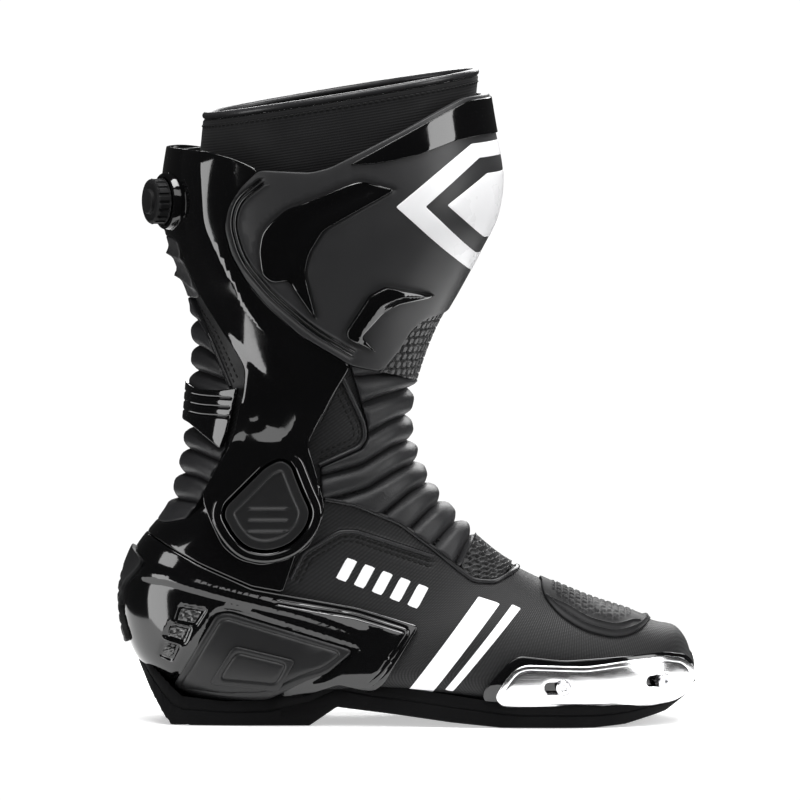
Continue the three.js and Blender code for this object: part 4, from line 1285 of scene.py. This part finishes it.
def grown(outline, distance):
    """A side-view outline moved outwards (or inwards, if below zero) parallel to itself."""
    points = np.asarray(outline, float)
    nxt = np.roll(points, -1, 0)
    turn = math.copysign(1, (points[:, 0] * nxt[:, 1] - nxt[:, 0] * points[:, 1]).sum())
    def outward(run):
        return unit(np.stack([run[:, 1], -run[:, 0]], 1)) * turn
    after, before = outward(nxt - points), outward(points - np.roll(points, 1, 0))
    lean = np.maximum(1 + (after * before).sum(1), 0.5)
    return points + (after + before) * (distance / lean)[:, None]


SIDES = ("outer", "inner")


def round_piece(name, body, material, profile, replaces=(), segments=64):
    """A ring or disc turned about the ankle pivot, its heights counted out from the middle."""
    points, faces = lathe(profile, PIVOT * [1, 0, 1], (0, -1, 0), segments)
    n = segments
    faces = faces[:-2] + [
        (k, (k + 1) % n, (len(profile) - 1) * n + (k + 1) % n, (len(profile) - 1) * n + k)
        for k in range(n)
    ]
    return settle(mesh_object(name, points, faces), body, material, replaces)


# ---- Foot: toe

TOE_PAD = [
    [71.5, 110], [71.5, 69], [81.5, 58], [94.5, 50.5], [110.5, 46.5], [122, 48.5], [132, 54.5], [140, 80],
]
TOE_BASE = [
    [40, 20], [54, 35], [59.5, 38], [83.5, 35.5], [136, 37.8], [146, 36], [150, 31.5], [151, 25],
    [149, 19], [135.5, 13.5], [103.5, 10.5], [60.5, 11], [42.5, 14],
]
TOE_PLATE = [
    [47, 19], [57, 31.5], [63.5, 33.5], [94.5, 32.5], [132.5, 36], [143, 34.5], [147.5, 30],
    [148.5, 24.5], [146, 19], [139, 16], [116, 13.5], [94.5, 13], [57, 14], [50, 16],
]
SLOTS = [[72.5, 85.5, 22.5], [124.5, 135.5, 24.5]]
SLOT_HALF = 2.6


def slot_loop(rear, front, z, half):
    turns = np.linspace(-math.pi / 2, math.pi / 2, 9)
    cap = np.stack([np.cos(turns), np.sin(turns)], 1) * half
    return np.vstack([cap + [front - SLOT_HALF, z], -cap + [rear + SLOT_HALF, z]])


def make_toe():
    scales = Field(toe_scales)
    rims = [trail(grown(TOE_PAD[1:7], -d), side, 6) for side in SIDES for d in (2.5, 5.5)]
    panel(
        "toe_shift_pad", "foot", "moulded_rubber", RUBBER, loops_of(TOE_PAD, corner=6), 0.1, 1.5, 0.7,
        1.1, [Line(rim, 0.9, 1.0) for rim in rims] + [scales], ("toe_shift_pad",)
    )
    pits = [Step([closed_loop(slot_loop(*slot, SLOT_HALF + 0.7))], 0.5, -1.5) for slot in SLOTS]
    panel(
        "toe_slider_base", "foot", "gloss_shell", GLOSS, loops_of(TOE_BASE, "outer", corner=3), 0.1, 3.9,
        0.9, 2.0, pits, ("toe_slider_base",)
    )
    plate = loops_of(TOE_PLATE, "outer", corner=3) + [
        closed_loop(slot_loop(*slot, SLOT_HALF)) for slot in SLOTS
    ]
    edge = Line(trail(grown(TOE_PLATE, -2.6), "outer", 3, True), 0.5, -0.25, True)
    panel(
        "toe_slider_plate", "foot", "steel", STEEL, plate, 3.7, 6.1, 0.8, 1.8, [edge],
        ("toe_slider_plate",)
    )
    for name, (_, front, z) in zip(("rear", "front"), SLOTS):
        sa = trail([[front - 3.2, z], [front - 2.8, z]], "outer", 0)[:1]
        seat, out = form(sa[:, 0], sa[:, 1])[0], normals(sa[:, 0], sa[:, 1])[0]
        profile = [
            (1.9, 1.5), (1.9, 6.0), (3.7, 6.3), (4, 6.7), (4, 8), (3.5, 8.5), (1.9, 8.5), (1.7, 8.3),
            (1.7, 7.2)
        ]
        points, faces = lathe(profile, seat, out, 48)
        settle(mesh_object(f"toe_slider_screw_{name}", points, faces), "foot", SCREW_STEEL,
               (f"toe_slider_screw_{name}",))


def closed_loop(outline):
    return trail(outline, "outer", 0, True)


def toe_scales(points, s, a):
    """Small overlapping bricks in the middle of the pad."""
    row = (points[:, 0] + 200) / 3.4
    shift = np.where(np.floor(row) % 2 < 1, 0, 0.5)
    column = points[:, 1] / 5.2 + shift
    walls = np.minimum(np.abs((row + 0.5) % 1 - 0.5) * 3.4, np.abs((column + 0.5) % 1 - 0.5) * 5.2)
    x, z = points[:, 0], points[:, 2]
    edge = np.interp(x, [71, 81, 94, 110, 122, 132], [69, 58, 50.5, 46.5, 48.5, 54.5])
    inside = smooth(z - edge, 7.5, 9) * smooth(x, 76, 78) * (1 - smooth(x, 123, 125))
    return 0.6 * smooth(walls, 0.25, 0.9) * inside


# ---- Ankle: the parts between the foot and the shaft, which bend on the boot as the shaft leans; here they are built unbent

def bending(start, end):
    """The two bodies and two side-view points of a piece from the foot to the shaft; settle() only bakes
    such a piece in place.
    """
    ends = [tuple((np.array([x, 0, z]) + SHIFT) * MM) for x, z in (start, end)]
    return ("foot", "shaft", *ends)


SHIN_FOOT = [[-30.5, 193.5], [-16, 190], [5, 183], [70, 183]]
FRONT_EDGE = [SHIN_FOOT[0], [-22, 162], [-21, 154], [-24.4, 147.5], [-46, 138], [-45.5, 121.5]]
REAR_EDGE = [[-106, 110], [-108, 122], [-96, 147], [-93, 179]]
CREASES = [
    [[20, 186], [-2, 188], [-28, 186]],
    [[6, 178], [-1, 178], [-14, 175], [-26, 171]],
    [[6, 165], [-8, 162], [-22, 155]],
    [[6, 151.5], [-8, 148], [-25, 138.5], [-47, 133]],
    [[10, 141], [-6, 135], [-22, 126], [-44, 120]],
    [[16, 130], [2, 124], [-15, 111]],
    [[22, 120.5], [12, 114], [-1, 102]],
    [[31, 110.5], [22, 104], [12.5, 94]],
    [[40, 104.5], [32, 97], [26, 86]],
]
REAR_CREASES = [
    [[-120, 216], [-110, 214], [-98, 203]],
    [[-118, 202], [-108, 200], [-96, 192]],
    [[-118, 188], [-108, 187], [-94, 183]],
    [[-122, 158], [-112, 157], [-98, 150]],
    [[-124, 146.5], [-112, 145], [-98, 140]],
    [[-124, 133], [-112, 132], [-103, 128]],
    [[-126, 119.5], [-114, 119], [-107, 117]],
]


class Rolls:
    """Padded rolls, pinched in along creases."""

    def __init__(self, creases, reach, rise):
        lines = [trail(line, side) for line in creases for side in SIDES]
        self.paths = [form(line[:, 0], line[:, 1]) for line in lines]
        self.guides = [beside(line, d, False) for line in lines for d in (-1.3, 0, 1.3)]
        self.reach = reach
        self.rise = rise

    def __call__(self, points, s, a):
        d = np.min([distance_to(points, path) for path in self.paths], axis=0)
        crown = 1 - (1 - np.clip(d / self.reach, 0, 1)) ** 2.3
        wrinkle = 0.12 * np.sin(points[:, 2] * 0.7 + 2.2 * np.sin(points[:, 1] * 0.13)) * crown
        return self.rise * (crown - 1) + wrinkle


def make_ankle():
    front = [
        *SHIN_FOOT[::-1], *FRONT_EDGE[1:], [-28, 118.5], [-5, 108], [13.5, 94], [27.6, 83.4],
        [37, 101.5], [52, 110], [70, 130],
    ]
    rolls = Rolls(CREASES, 6.0, 5.0)
    made = panel(
        "front_bellows", bending((28, 97), (2, 182)), "leather", SOFT_LEATHER,
        loops_of(front, corner=1.5), -3, 3.4, 1.2, 1.5, [rolls], ("front_bellows",)
    )
    rear = [[-160, 105.9], [-127.5, 105.9], [-116, 109], *REAR_EDGE[1:], [-113, 227], [-160, 227]]
    made = panel(
        "rear_bellows", bending((-118, 108), (-115, 158)), "leather", SOFT_LEATHER,
        loops_of(rear, corner=1.5), -3, 3.2, 1.2, 1.6, [Rolls(REAR_CREASES, 6.0, 5.0)], ("rear_bellows",)
    )
    outline = [[-93, 179], [-70, 162], [-46, 162], *FRONT_EDGE, [-80, 113], *REAR_EDGE[:3]]
    rows = []
    for side in SIDES:
        panel(
            f"ankle_panel_{side}", bending((-60, 116), (-60, 175)), "leather", WEAVE,
            loops_of(outline, side, corner=1), *SKIN, 0.6, 2.6, (), (f"ankle_panel_{side}",)
        )
        edge = trail([[-33, 187], *FRONT_EDGE[1:5]], side, 3)
        turn = -1 if side == "outer" else 1
        bead(
            f"ankle_piping_{side}", bending((-60, 116), (-60, 175)), PIPING,
            beside(edge, turn * 1.6, False), 0.5, 1.3
        )
        rows += [thread_line(beside(edge, turn * d, False), 0.1) for d in (4.6, 7.4)]
    stitches("ankle_stitching", bending((-60, 116), (-60, 175)), THREAD, rows)
    lining = [
        [-160, 104], [-128, 104], [-106, 110], [-80, 113], [-45.5, 121.5], [-28, 118.5], [-5, 108],
        [27, 83], [60, 87], *SHIN_FOOT[::-1], [-46, 162], [-70, 162], [-93, 179], [-113, 227],
        [-160, 227],
    ]
    panel(
        "lining_ankle", bending((-20, 105), (-50, 185)), "lining", LINING, loops_of(lining, corner=1),
        *LINED, 0.4, 4.0, (), ("lining_ankle",)
    )


# ---- Shaft

SHIN_SEAM = [
    [-77.5, 297], [-86.5, 288], [-93, 277], [-95, 266.5], [-91.5, 253], [-84, 239.5], [-73.5, 226.5],
    [-57, 210.5], [-41, 200.5], [-30.5, 193.5],
]
OUTER_TOP = [[-160, 304], [-100, 303], [-77, 293], [-51, 292], [-25, 303], [17, 326], [70, 332]]
INNER_TOP = [[-160, 304], [-100, 306], [-70, 311], [-30, 322], [17, 332], [70, 332]]
GUARD = [
    [-165, 306.5], [-119, 307], [-102.5, 306], [-89.5, 302.5], *SHIN_SEAM, [-41, 175.5], [-53, 151.5],
    [-48.5, 136.5], [-44, 119.5], [-44.5, 112], [-52, 96.5], [-63.5, 89.5], [-77.5, 86.5], [-89.5, 89.5],
    [-98, 96.5], [-104.5, 110], [-108.5, 121], [-108, 126.5], [-102.5, 136.5], [-96, 147.5], [-91.5, 157],
    [-86, 178], [-85, 191], [-89.5, 199.5], [-99, 214.5], [-107, 227.5], [-116, 246.5], [-120.5, 260.5],
    [-165, 260.5],
]
CAP = [
    [-67, 143], [-62, 140], [-56, 124.5], [-51.5, 115], [-54.5, 106.5], [-62.5, 98], [-74.5, 94.5],
    [-85, 96.5], [-92, 103.5], [-97, 113], [-96, 118], [-86.5, 127.5], [-74.5, 139.5],
]
INNER_GUARD = [
    [-165, 306.5], [-119, 307], [-100, 304], [-76, 297], [-66, 280], [-66, 245], [-82, 218], [-96, 214],
    [-107, 227.5], [-120.5, 260.5], [-165, 260.5],
]
REAR_PLATE = [[-165, 260.1], [-120.9, 260.1], [-116.4, 246.5], [-107.8, 228], [-165, 228]]
BAND = [
    [-165, 182.5], [-117.5, 182.5], [-108, 178.5], [-97.5, 179], [-88, 181], [-94, 156], [-97, 147.5],
    [-112, 160], [-117.5, 162], [-165, 162],
]


def make_shaft():
    below = [*SHIN_FOOT[::-1], [-46, 162], [-70, 162], [-93, 179], [-113, 227], [-160, 227]]
    loops = loops_of(OUTER_TOP + below, inner=INNER_TOP + below, corner=1)
    panel("shaft_shell", "shaft", "leather", LEATHER, loops, *SKIN, 0.6, 3.4, (), ("shaft_shell",))
    loops = loops_of([[-160, 268], [70, 297], *below], corner=1)
    panel("lining_shaft", "shaft", "lining", LINING, loops, *LINED, 0.4, 5.0, (), ("lining_shaft",))
    edge = trail([[-114, 222], [-104, 205], [-94, 181]])
    rows = [thread_line(beside(edge, d, False), 0.1) for d in (3, 6)]
    side_seam = trail([[-78, 176], [-66, 167], [-50, 168], [-44, 178]])
    rows += [thread_line(side_seam, 0.1)]
    stitches("shaft_stitching", "shaft", THREAD, rows)
    bead("shaft_piping", "shaft", PIPING, edge, 0.3, 1.2)


RING_FACE = 47.9  # how far out from the middle the guard's ring lies
RING_BEAD = 50.9
CAP_SEAT = 49.8


def brace_place(base, out, height):
    """The guard lies on the form; below the arm it runs out to a flat ring over the pivot."""
    share = smooth(-base[:, 2], -176, -150)[:, None]
    ring = np.stack([base[:, 0], np.full(len(base), -RING_FACE), base[:, 2]], 1)
    away = unit(out * (1 - share) + np.array([0, -1.0, 0]) * share)
    deep = np.where(height < 1, height - 2.1 * share[:, 0], height)
    return base * (1 - share) + ring * share + away * np.where(height < 0.25, deep, height)[:, None]


def make_guard():
    arm = trail(
        [[-106, 300], [-104, 268], [-84, 226], [-60, 194], [-53, 176], [-64, 154], [-72, 148]], "outer", 6
    )
    pocket = Step(loops_of(grown(CAP, 1.0), "outer", corner=7), 0.5, -2.9)
    edge = Line(trail([[-48, 148], [-47, 136], [-47.5, 122], [-48.5, 113]], "outer", 3), 0.5, -0.5)
    relief = [Line(arm, 17, 3.2, profile="fold"), pocket, edge]
    panel(
        "ankle_brace", "shaft", "gloss_shell", GLOSS, loops_of(GUARD, "outer", corner=4), *ARMOUR, 0.9,
        1.7, relief, ("ankle_brace",), place=brace_place
    )
    ring = densified(rounded(grown(CAP, 4.4), 9), STEP)
    ring = np.insert(ring, 1, -RING_BEAD, axis=1)
    sweep(
        "pivot_ring", "shaft", GLOSS, ring, np.tile([0, -1.0, 0], (len(ring), 1)), 2.9, 16,
        True, 0.6
    )
    ribs = [Line(trail(grown(CAP, -5), "outer", 6, True), 0.7, 0.5, True)]
    ribs += [Line(trail([[-84, z], [-74, z], [-64, z]], "outer", 0), 0.9, 0.6) for z in (105, 111, 117)]
    panel(
        "pivot_cap", "shaft", "satin_shell", SATIN_DARK, loops_of(CAP, "outer", corner=7), 0, 2.8, 0.9,
        1.4, ribs, ("pivot_cap",), place=flat(CAP_SEAT)
    )
    round_piece(
        "pivot_bush", "shaft", SCREW_STEEL, [(5.25, 46), (7, 46), (7, 47.6), (5.25, 47.6)],
        ("pivot_bush",)
    )
    bolt = [(2, 43), (4.9, 43), (4.9, 47.9), (8, 47.9), (8, 49), (7.6, 49.4), (2, 49.4)]
    round_piece("pivot_bolt", "foot", SCREW_STEEL, bolt, ("pivot_bolt",))
    panel(
        "calf_guard_inner", "shaft", "gloss_shell", GLOSS, loops_of(INNER_GUARD, "inner", corner=4),
        *ARMOUR, 0.9, 2.6, (), ("calf_guard_inner",)
    )
    folds = [
        Line(trail([[-125, z], [-116, z - 2], [-112, z - 6]], side), 2.6, 1.4)
        for z in (252, 241) for side in SIDES
    ]
    panel(
        "calf_rear_plate", "shaft", "satin_shell", SATIN, loops_of(REAR_PLATE, corner=3), *ARMOUR, 0.9,
        1.8, folds, ("calf_rear_plate",)
    )
    grooves = [
        Line(trail([[-121, z + 1], [-108, z - 1], [-91, z - 1]], side), 0.7, -0.9)
        for z in (176, 171, 166) for side in SIDES
    ]
    panel(
        "achilles_band", "shaft", "gloss_shell", GLOSS, loops_of(BAND, corner=1.5), 2.6, 5.2, 0.8, 1.6,
        grooves, ("achilles_band",)
    )


SHIN_OUTER = [
    *SHIN_SEAM, [-16, 190], [-6.5, 202], [-0.5, 212], [7, 218.5], [17.5, 221], [27, 231.5], [33.5, 246.5],
    [70, 270], [70, 335.5], [42.5, 335.5], [28.5, 334.5], [17.5, 329], [-3.5, 317.5], [-25, 306.5],
    [-41, 298.5], [-51, 296],
]
SHIN_INNER = [
    [70, 335.5], [70, 270], [33.5, 246.5], [27, 231.5], [17.5, 221], [7, 218.5], [-1, 222], [-12, 240],
    [-12, 292], [-5, 312], [10, 325], [28.5, 334.5], [42.5, 335.5],
]
HEX = [[-16, 190], [-6.5, 202], [-0.5, 212], [7, 218.5], [17.5, 221], [50, 225], [50, 196], [5, 183]]
SCOOP = [
    [-24.5, 291.5], [-7.5, 287], [-28, 275.5], [-44.5, 266], [-52, 253.5], [-54, 243], [-48, 218],
    [-62, 240], [-70, 238.5], [-75.5, 243], [-77, 255], [-75.5, 264], [-71, 270], [-63, 277],
    [-48, 282.5], [-33, 289],
]
CHEVRON = [
    [-13, 236.5], [11, 232.5], [-7.5, 227.5], [-15.5, 222.5], [-26, 210.5], [-19, 201.5], [-33, 209.5],
    [-33, 213], [-21, 232],
]
TOP_STRIP = [
    [-31, 300], [-15, 301], [5, 305], [24, 312], [37, 314], [70, 314], [70, 333.5], [42.5, 333.5],
    [29, 332.5], [18, 327], [-3, 315.5],
]
TOP_STRIP_INNER = [*TOP_STRIP[3:-1], [12, 323], [10, 309]]


def make_shin():
    track = trail(
        [[-76, 291], [-88, 281], [-91, 269], [-86, 251], [-70, 231], [-50, 213], [-30, 200]], "outer", 8
    )
    relief = [
        Line(beside(track, d, False), 0.7, h) for d, h in ((-3, 0.5), (-1.2, -0.8), (1.2, -0.8), (3, 0.5))
    ]
    for name, d in (("rear", 1.2), ("front", -1.2)):
        bead(f"shin_track_{name}", "shaft", GLOSS, beside(track, d, False), 4.0, 0.9)
    scoop = Step(loops_of(grown(SCOOP, 1.2), "outer", corner=3), 0.8, -0.7)
    panel(
        "shin_plate", "shaft", "satin_shell", SATIN, loops_of(SHIN_OUTER, inner=SHIN_INNER, corner=3),
        0.2, 4.3, 0.9, 2.6, [*relief, scoop], ("shin_plate",)
    )
    dish = Line(trail([[-20, 289], [-52, 273], [-65, 256], [-60, 240]], "outer", 8), 6, -1.6)
    panel(
        "shin_scoop", "shaft", "gloss_shell", GLOSS, loops_of(SCOOP, "outer", corner=3), 3.4, 5.9, 0.9,
        1.6, [dish], ("shin_scoop",)
    )
    ridge = Line(
        trail([[-30, 206], [-27, 213], [-17, 228], [-7, 232.5], [6, 232.5]], "outer", 2), 4.5, 1.6,
        profile="fold"
    )
    panel(
        "shin_chevron", "shaft", "gloss_shell", GLOSS, loops_of(CHEVRON, "outer", corner=1.2), 4.2, 7.2,
        1.0, 1.1, [ridge], ("shin_chevron",)
    )
    loops = loops_of(TOP_STRIP, inner=TOP_STRIP_INNER, corner=2)
    panel(
        "shin_top_strip", "shaft", "gloss_shell", GLOSS, loops, 4.2, 5.4, 0.5, 2.2, (),
        ("shin_top_strip",)
    )
    panel(
        "shin_hex_panel", "shaft", "moulded_rubber", STUD_RUBBER, loops_of(HEX, corner=2), 0.1, 1.6, 0.6,
        0.5, [studs(4.7, 1.5)], ("shin_hex_panel",)
    )
    border = trail([[-16, 190], [-6.5, 202], [-0.5, 212], [7, 218.5], [17.5, 221]])
    bead("hex_piping", "shaft", STUD_RUBBER, beside(border, -1.2, False), 1.9, 0.8)
    ring = loops_of([[70, 312], [31, 309.5], [-7, 278], [30, 244], [70, 238]],
                    inner=[[70, 312], [33, 309.5], [-2, 278], [32, 244], [70, 238]], corner=0.5)
    ring += loops_of([[70, 304], [35, 302], [8, 278], [33, 253.5], [70, 248]],
                     inner=[[70, 304], [37, 302], [13, 278], [35, 253.5], [70, 248]], corner=0.5)
    heart = loops_of([[70, 296], [39, 294], [19, 278.5], [37, 262], [70, 257]],
                     inner=[[70, 296], [41, 294], [24, 278.5], [39, 262], [70, 257]], corner=0.5)
    for i, loops in enumerate((ring, heart)):
        panel(f"shin_print_{i + 1}", "shaft", "satin_shell", PRINT, loops, 4.2, 4.55, 0.15, 3.0)


def studs(pitch, rise):
    """Rows of rounded hexagonal studs."""
    def field(points, s, a):
        u, v = arc_uv(s, a).T
        return rise * (1 - smooth(hexagons(v, u, pitch), pitch * 0.33, pitch * 0.45))
    return Field(field)


# ---- Shaft: collar

# Rim to foot: front x, front z, rear x, rear z, half-width.
COLLAR = np.array([
    [38, 345.5, -109, 321.5, 53],
    [36.5, 330, -110.5, 306, 53],
    [38.5, 315, -113, 291, 52.4],
    [39, 301, -115, 275, 50.5],
])


COLLAR_SIDES = 180


def collar_points(depth, turns, inward):
    """Points of the collar; depth runs from 0 at the rim to 3 at its foot."""
    rows = [np.interp(depth, range(4), COLLAR[:, k]) for k in range(5)]
    fx, fz, rx, rz, half = rows
    reach = np.hypot(fx - rx, fz - rz) / 2
    out = np.cos(turns) * (reach - inward)
    x = (fx + rx) / 2 + (fx - rx) / 2 / reach * out
    z = (fz + rz) / 2 + (fz - rz) / 2 / reach * out
    return np.stack([x, -np.sin(turns) * (half - inward), z], 1)


def make_collar():
    turns = np.linspace(0, 2 * math.pi, COLLAR_SIDES, endpoint=False)
    rows = [(depth, 0.0) for depth in np.linspace(0.06, 3, 46)]
    rows += [(depth, 3.0) for depth in np.linspace(3, 0.06, 30)] + [(0, 2.4), (0, 0.6)]
    rings = [collar_points(np.full(COLLAR_SIDES, d), turns, inward) for d, inward in rows]
    n = len(turns)
    faces = ring_faces(len(rings), n, len(rings))
    uv = np.vstack([np.stack([np.full(n, d * 15.5), turns * 66], 1) for d, _ in rows])
    made = mesh_object("collar", np.vstack(rings), faces, uv)
    settle(made, "shaft", CLOTH, ("collar",))
    rim = collar_points(np.zeros(n), turns, 1.5) + [0, 0, 2.0]
    up = np.tile([0.0, 0.0, 1.0], (n, 1))
    made = sweep("collar_piping", "shaft", PIPING, rim, up, 1.95, 12, True)
    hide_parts("collar_piping")
    near = collar_points(np.full(n, 0.22), turns, -0.1)
    loop = np.vstack([near, near[:1]])
    out = np.stack([np.cos(turns), -np.sin(turns), 0 * turns], 1)
    stitches("collar_stitching", "shaft", THREAD, [(loop, np.vstack([out, out[:1]]))])


# ---- Shaft: closure dial

def grip(turn, radius, height):
    """Grip grooves down the side of the dial's knob."""
    on_side = radius > 11 and 6.8 < height < 12.5
    return -0.7 * (math.cos(18 * turn) > 0.2) if on_side else 0


def make_dial():
    seat = np.array([-124.6, -19.4, 279])
    yaw = math.radians(25)
    axis = np.array([-math.cos(yaw), -math.sin(yaw), 0])
    flange = [
        (4.5, 1.2), (4.5, 5.6), (12.6, 5.6), (13.6, 6.1), (14.8, 5.6), (15.5, 4.2), (15.5, -4), (13, -8)
    ]
    points, faces = lathe([(0.5, 1.2), *flange, (0.5, -8)], seat, axis, 72)
    settle(mesh_object("dial_base", points, faces), "shaft", GLOSS, ("dial_base",))
    knob = [
        (0.5, 1.6), (4, 1.6), (4, 6), (11.6, 6), (12.3, 6.5), (12.3, 7), (12, 7.2), (12, 12),
        (12.2, 12.3), (11.6, 13.2), (10.4, 13.8), (8, 13.4), (6.9, 13.6), (6.5, 15.2), (6, 15.6),
        (0.5, 15.4),
    ]
    points, faces = lathe(knob, seat, axis, 144, grip)
    settle(
        mesh_object("dial_knob", points, faces, sharp=30), "dial", RUBBER,
        ("dial_knob",)
    )


# ---- Shaft: zip on the inner side, and the tab over it

ZIP_LENGTH = 130.3
TOOTH_PITCH = 1.5
TOOTH = 1.05
TAB_PLANE = 59.6


def make_zip():
    along = np.array(JOINTS["zip_run"]["axis"])
    across = -np.array(JOINTS["zip_pull_swing"]["axis"])
    out = np.cross(along, across)
    hinge = np.array(JOINTS["zip_pull_swing"]["pos_m"]) / MM - SHIFT
    top = hinge - along * 6.6 - out * 8.2

    def brick(a, c, o):
        corners = [(i, j, k) for i in (0, 1) for j in (0, 1) for k in (0, 1)]
        points = [top + along * a[i] + across * c[j] + out * o[k] for i, j, k in corners]
        faces = [(0, 1, 3, 2), (4, 6, 7, 5), (0, 4, 5, 1), (2, 3, 7, 6), (0, 2, 6, 4), (1, 5, 7, 3)]
        return points, faces

    line = top + along * np.linspace(-6, ZIP_LENGTH + 4, 60)[:, None]
    sa = resampled(np.stack([*side_of(line)], 1), False)
    tape = [np.vstack([beside(sa, 11.8, False), beside(sa, -11.8, False)[::-1]])]
    rib = [Line(beside(sa, d, False), 0.8, 0.5) for d in (-3.6, 3.6)]
    panel(
        "zip_tape", "shaft", "collar_cloth", TAPE, [resampled(t, True) for t in tape], 0.1, 1.1, 0.3, 1.8,
        rib, ("zip_tape",)
    )
    rows = [thread_line(beside(sa, d, False), 1.1) for d in (-9.6, 9.6)]
    stitches("zip_stitching", "shaft", THREAD, rows)
    parts = []
    for i in range(int(ZIP_LENGTH / TOOTH_PITCH)):
        side = 1 if i % 2 else -1
        a = 0.4 + i * TOOTH_PITCH
        parts.append(brick((a, a + TOOTH), tuple(sorted((-0.5 * side, 2.3 * side))), (2.9, 4.9)))
    parts.append(brick((-0.6, ZIP_LENGTH - 0.4), (-2.4, -1.5), (1.0, 4.0)))
    parts.append(brick((-0.6, ZIP_LENGTH - 0.4), (1.5, 2.4), (1.0, 4.0)))
    points, faces = joined(parts)
    settle(mesh_object("zip_teeth", points, faces), "shaft", SCREW_STEEL, ("zip_teeth",))
    slider = [
        brick((2, 16), (-5, -2.8), (3.65, 7.25)), brick((2, 16), (2.8, 5), (3.65, 7.25)),
        brick((2, 16), (-2.8, 2.8), (5.4, 7.25)), brick((4, 5.2), (-0.7, 0.7), (7.2, 10.3)),
        brick((11, 12.2), (-0.7, 0.7), (7.2, 10.3)), brick((4, 12.2), (-0.7, 0.7), (9.15, 10.35)),
    ]
    points, faces = joined(slider)
    made = settle(
        mesh_object("zip_slider", points, faces), "zip_slider", SCREW_STEEL, ("zip_slider",)
    )
    bevelled(made, 0.4)
    down = np.array([0, 0, -1.0])
    face = unit(np.cross(across, [0, 0, 1.0]))
    face = face * math.copysign(1, face @ out)
    outline = rounded([[-0.6, -3.4], [24, -2.6], [24, 2.6], [-0.6, 3.4]], 2.2)
    hole = rounded([[0.6, -1.3], [6.4, -1.3], [6.4, 1.3], [0.6, 1.3]], 0.6)[::-1]
    points = []
    rings = [outline, hole]
    flat_points = np.vstack(rings)
    n, m = len(outline), len(hole)
    made_points, inner, _ = triangles(flat_points, ring_edges(0, n) + ring_edges(n, m), rings)
    for offset in (0.6, -0.6):
        points += [hinge + down * d + across * w + face * offset for d, w in made_points]
    count = len(made_points)
    faces = [tuple(f) for f in inner] + [tuple(f[::-1] + count) for f in inner]
    for start, size in ((0, n), (n, m)):
        faces += [(a, b, b + count, a + count) for a, b in ring_edges(start, size)]
    made = settle(
        mesh_object("zip_pull", points, faces, sharp=30), "zip_pull", SCREW_STEEL, ("zip_pull",)
    )
    root = [[-1, 310], [-1, 319], [-12, 319], [-12, 310]]
    panel("closure_root", "shaft", "leather", LEATHER, loops_of(root, "inner", corner=2), 0.0,
          root_height, 0.6, 1.4)
    tab = [[-10, 309], [-10, 320], [-52, 316], [-52, 306]]
    edge = trail(grown(tab, -2.4), "inner", 3, True)
    panel(
        "closure_flap", "closure_flap", "leather", LEATHER, loops_of(tab, "inner", corner=4), 0.0, 1.8,
        0.6, 2.0, [Line(edge, 0.6, -0.35, True)], ("closure_flap",), place=flat(TAB_PLANE)
    )


def root_height(points, s, a):
    """The tab's root climbs from the leather up to the tab."""
    return 0.8 + 5 * smooth(-points[:, 0], 1, 9)


def side_of(points):
    """(s, a) of points beside the form's inner side."""
    s, t = locate(points[:, 0], points[:, 2])
    return s, -angle_of(s, t)


def bevelled(made, width):
    rule = made.modifiers.new("edges", "BEVEL")
    rule.width = width * MM
    rule.segments = 2
    rule.limit_method = "ANGLE"


make_outsole()
make_foot_inside()
make_upper()
make_prints()
make_instep()
make_heel()
make_toe()
make_ankle()
make_shaft()
make_guard()
make_shin()
make_collar()
make_dial()
make_zip()
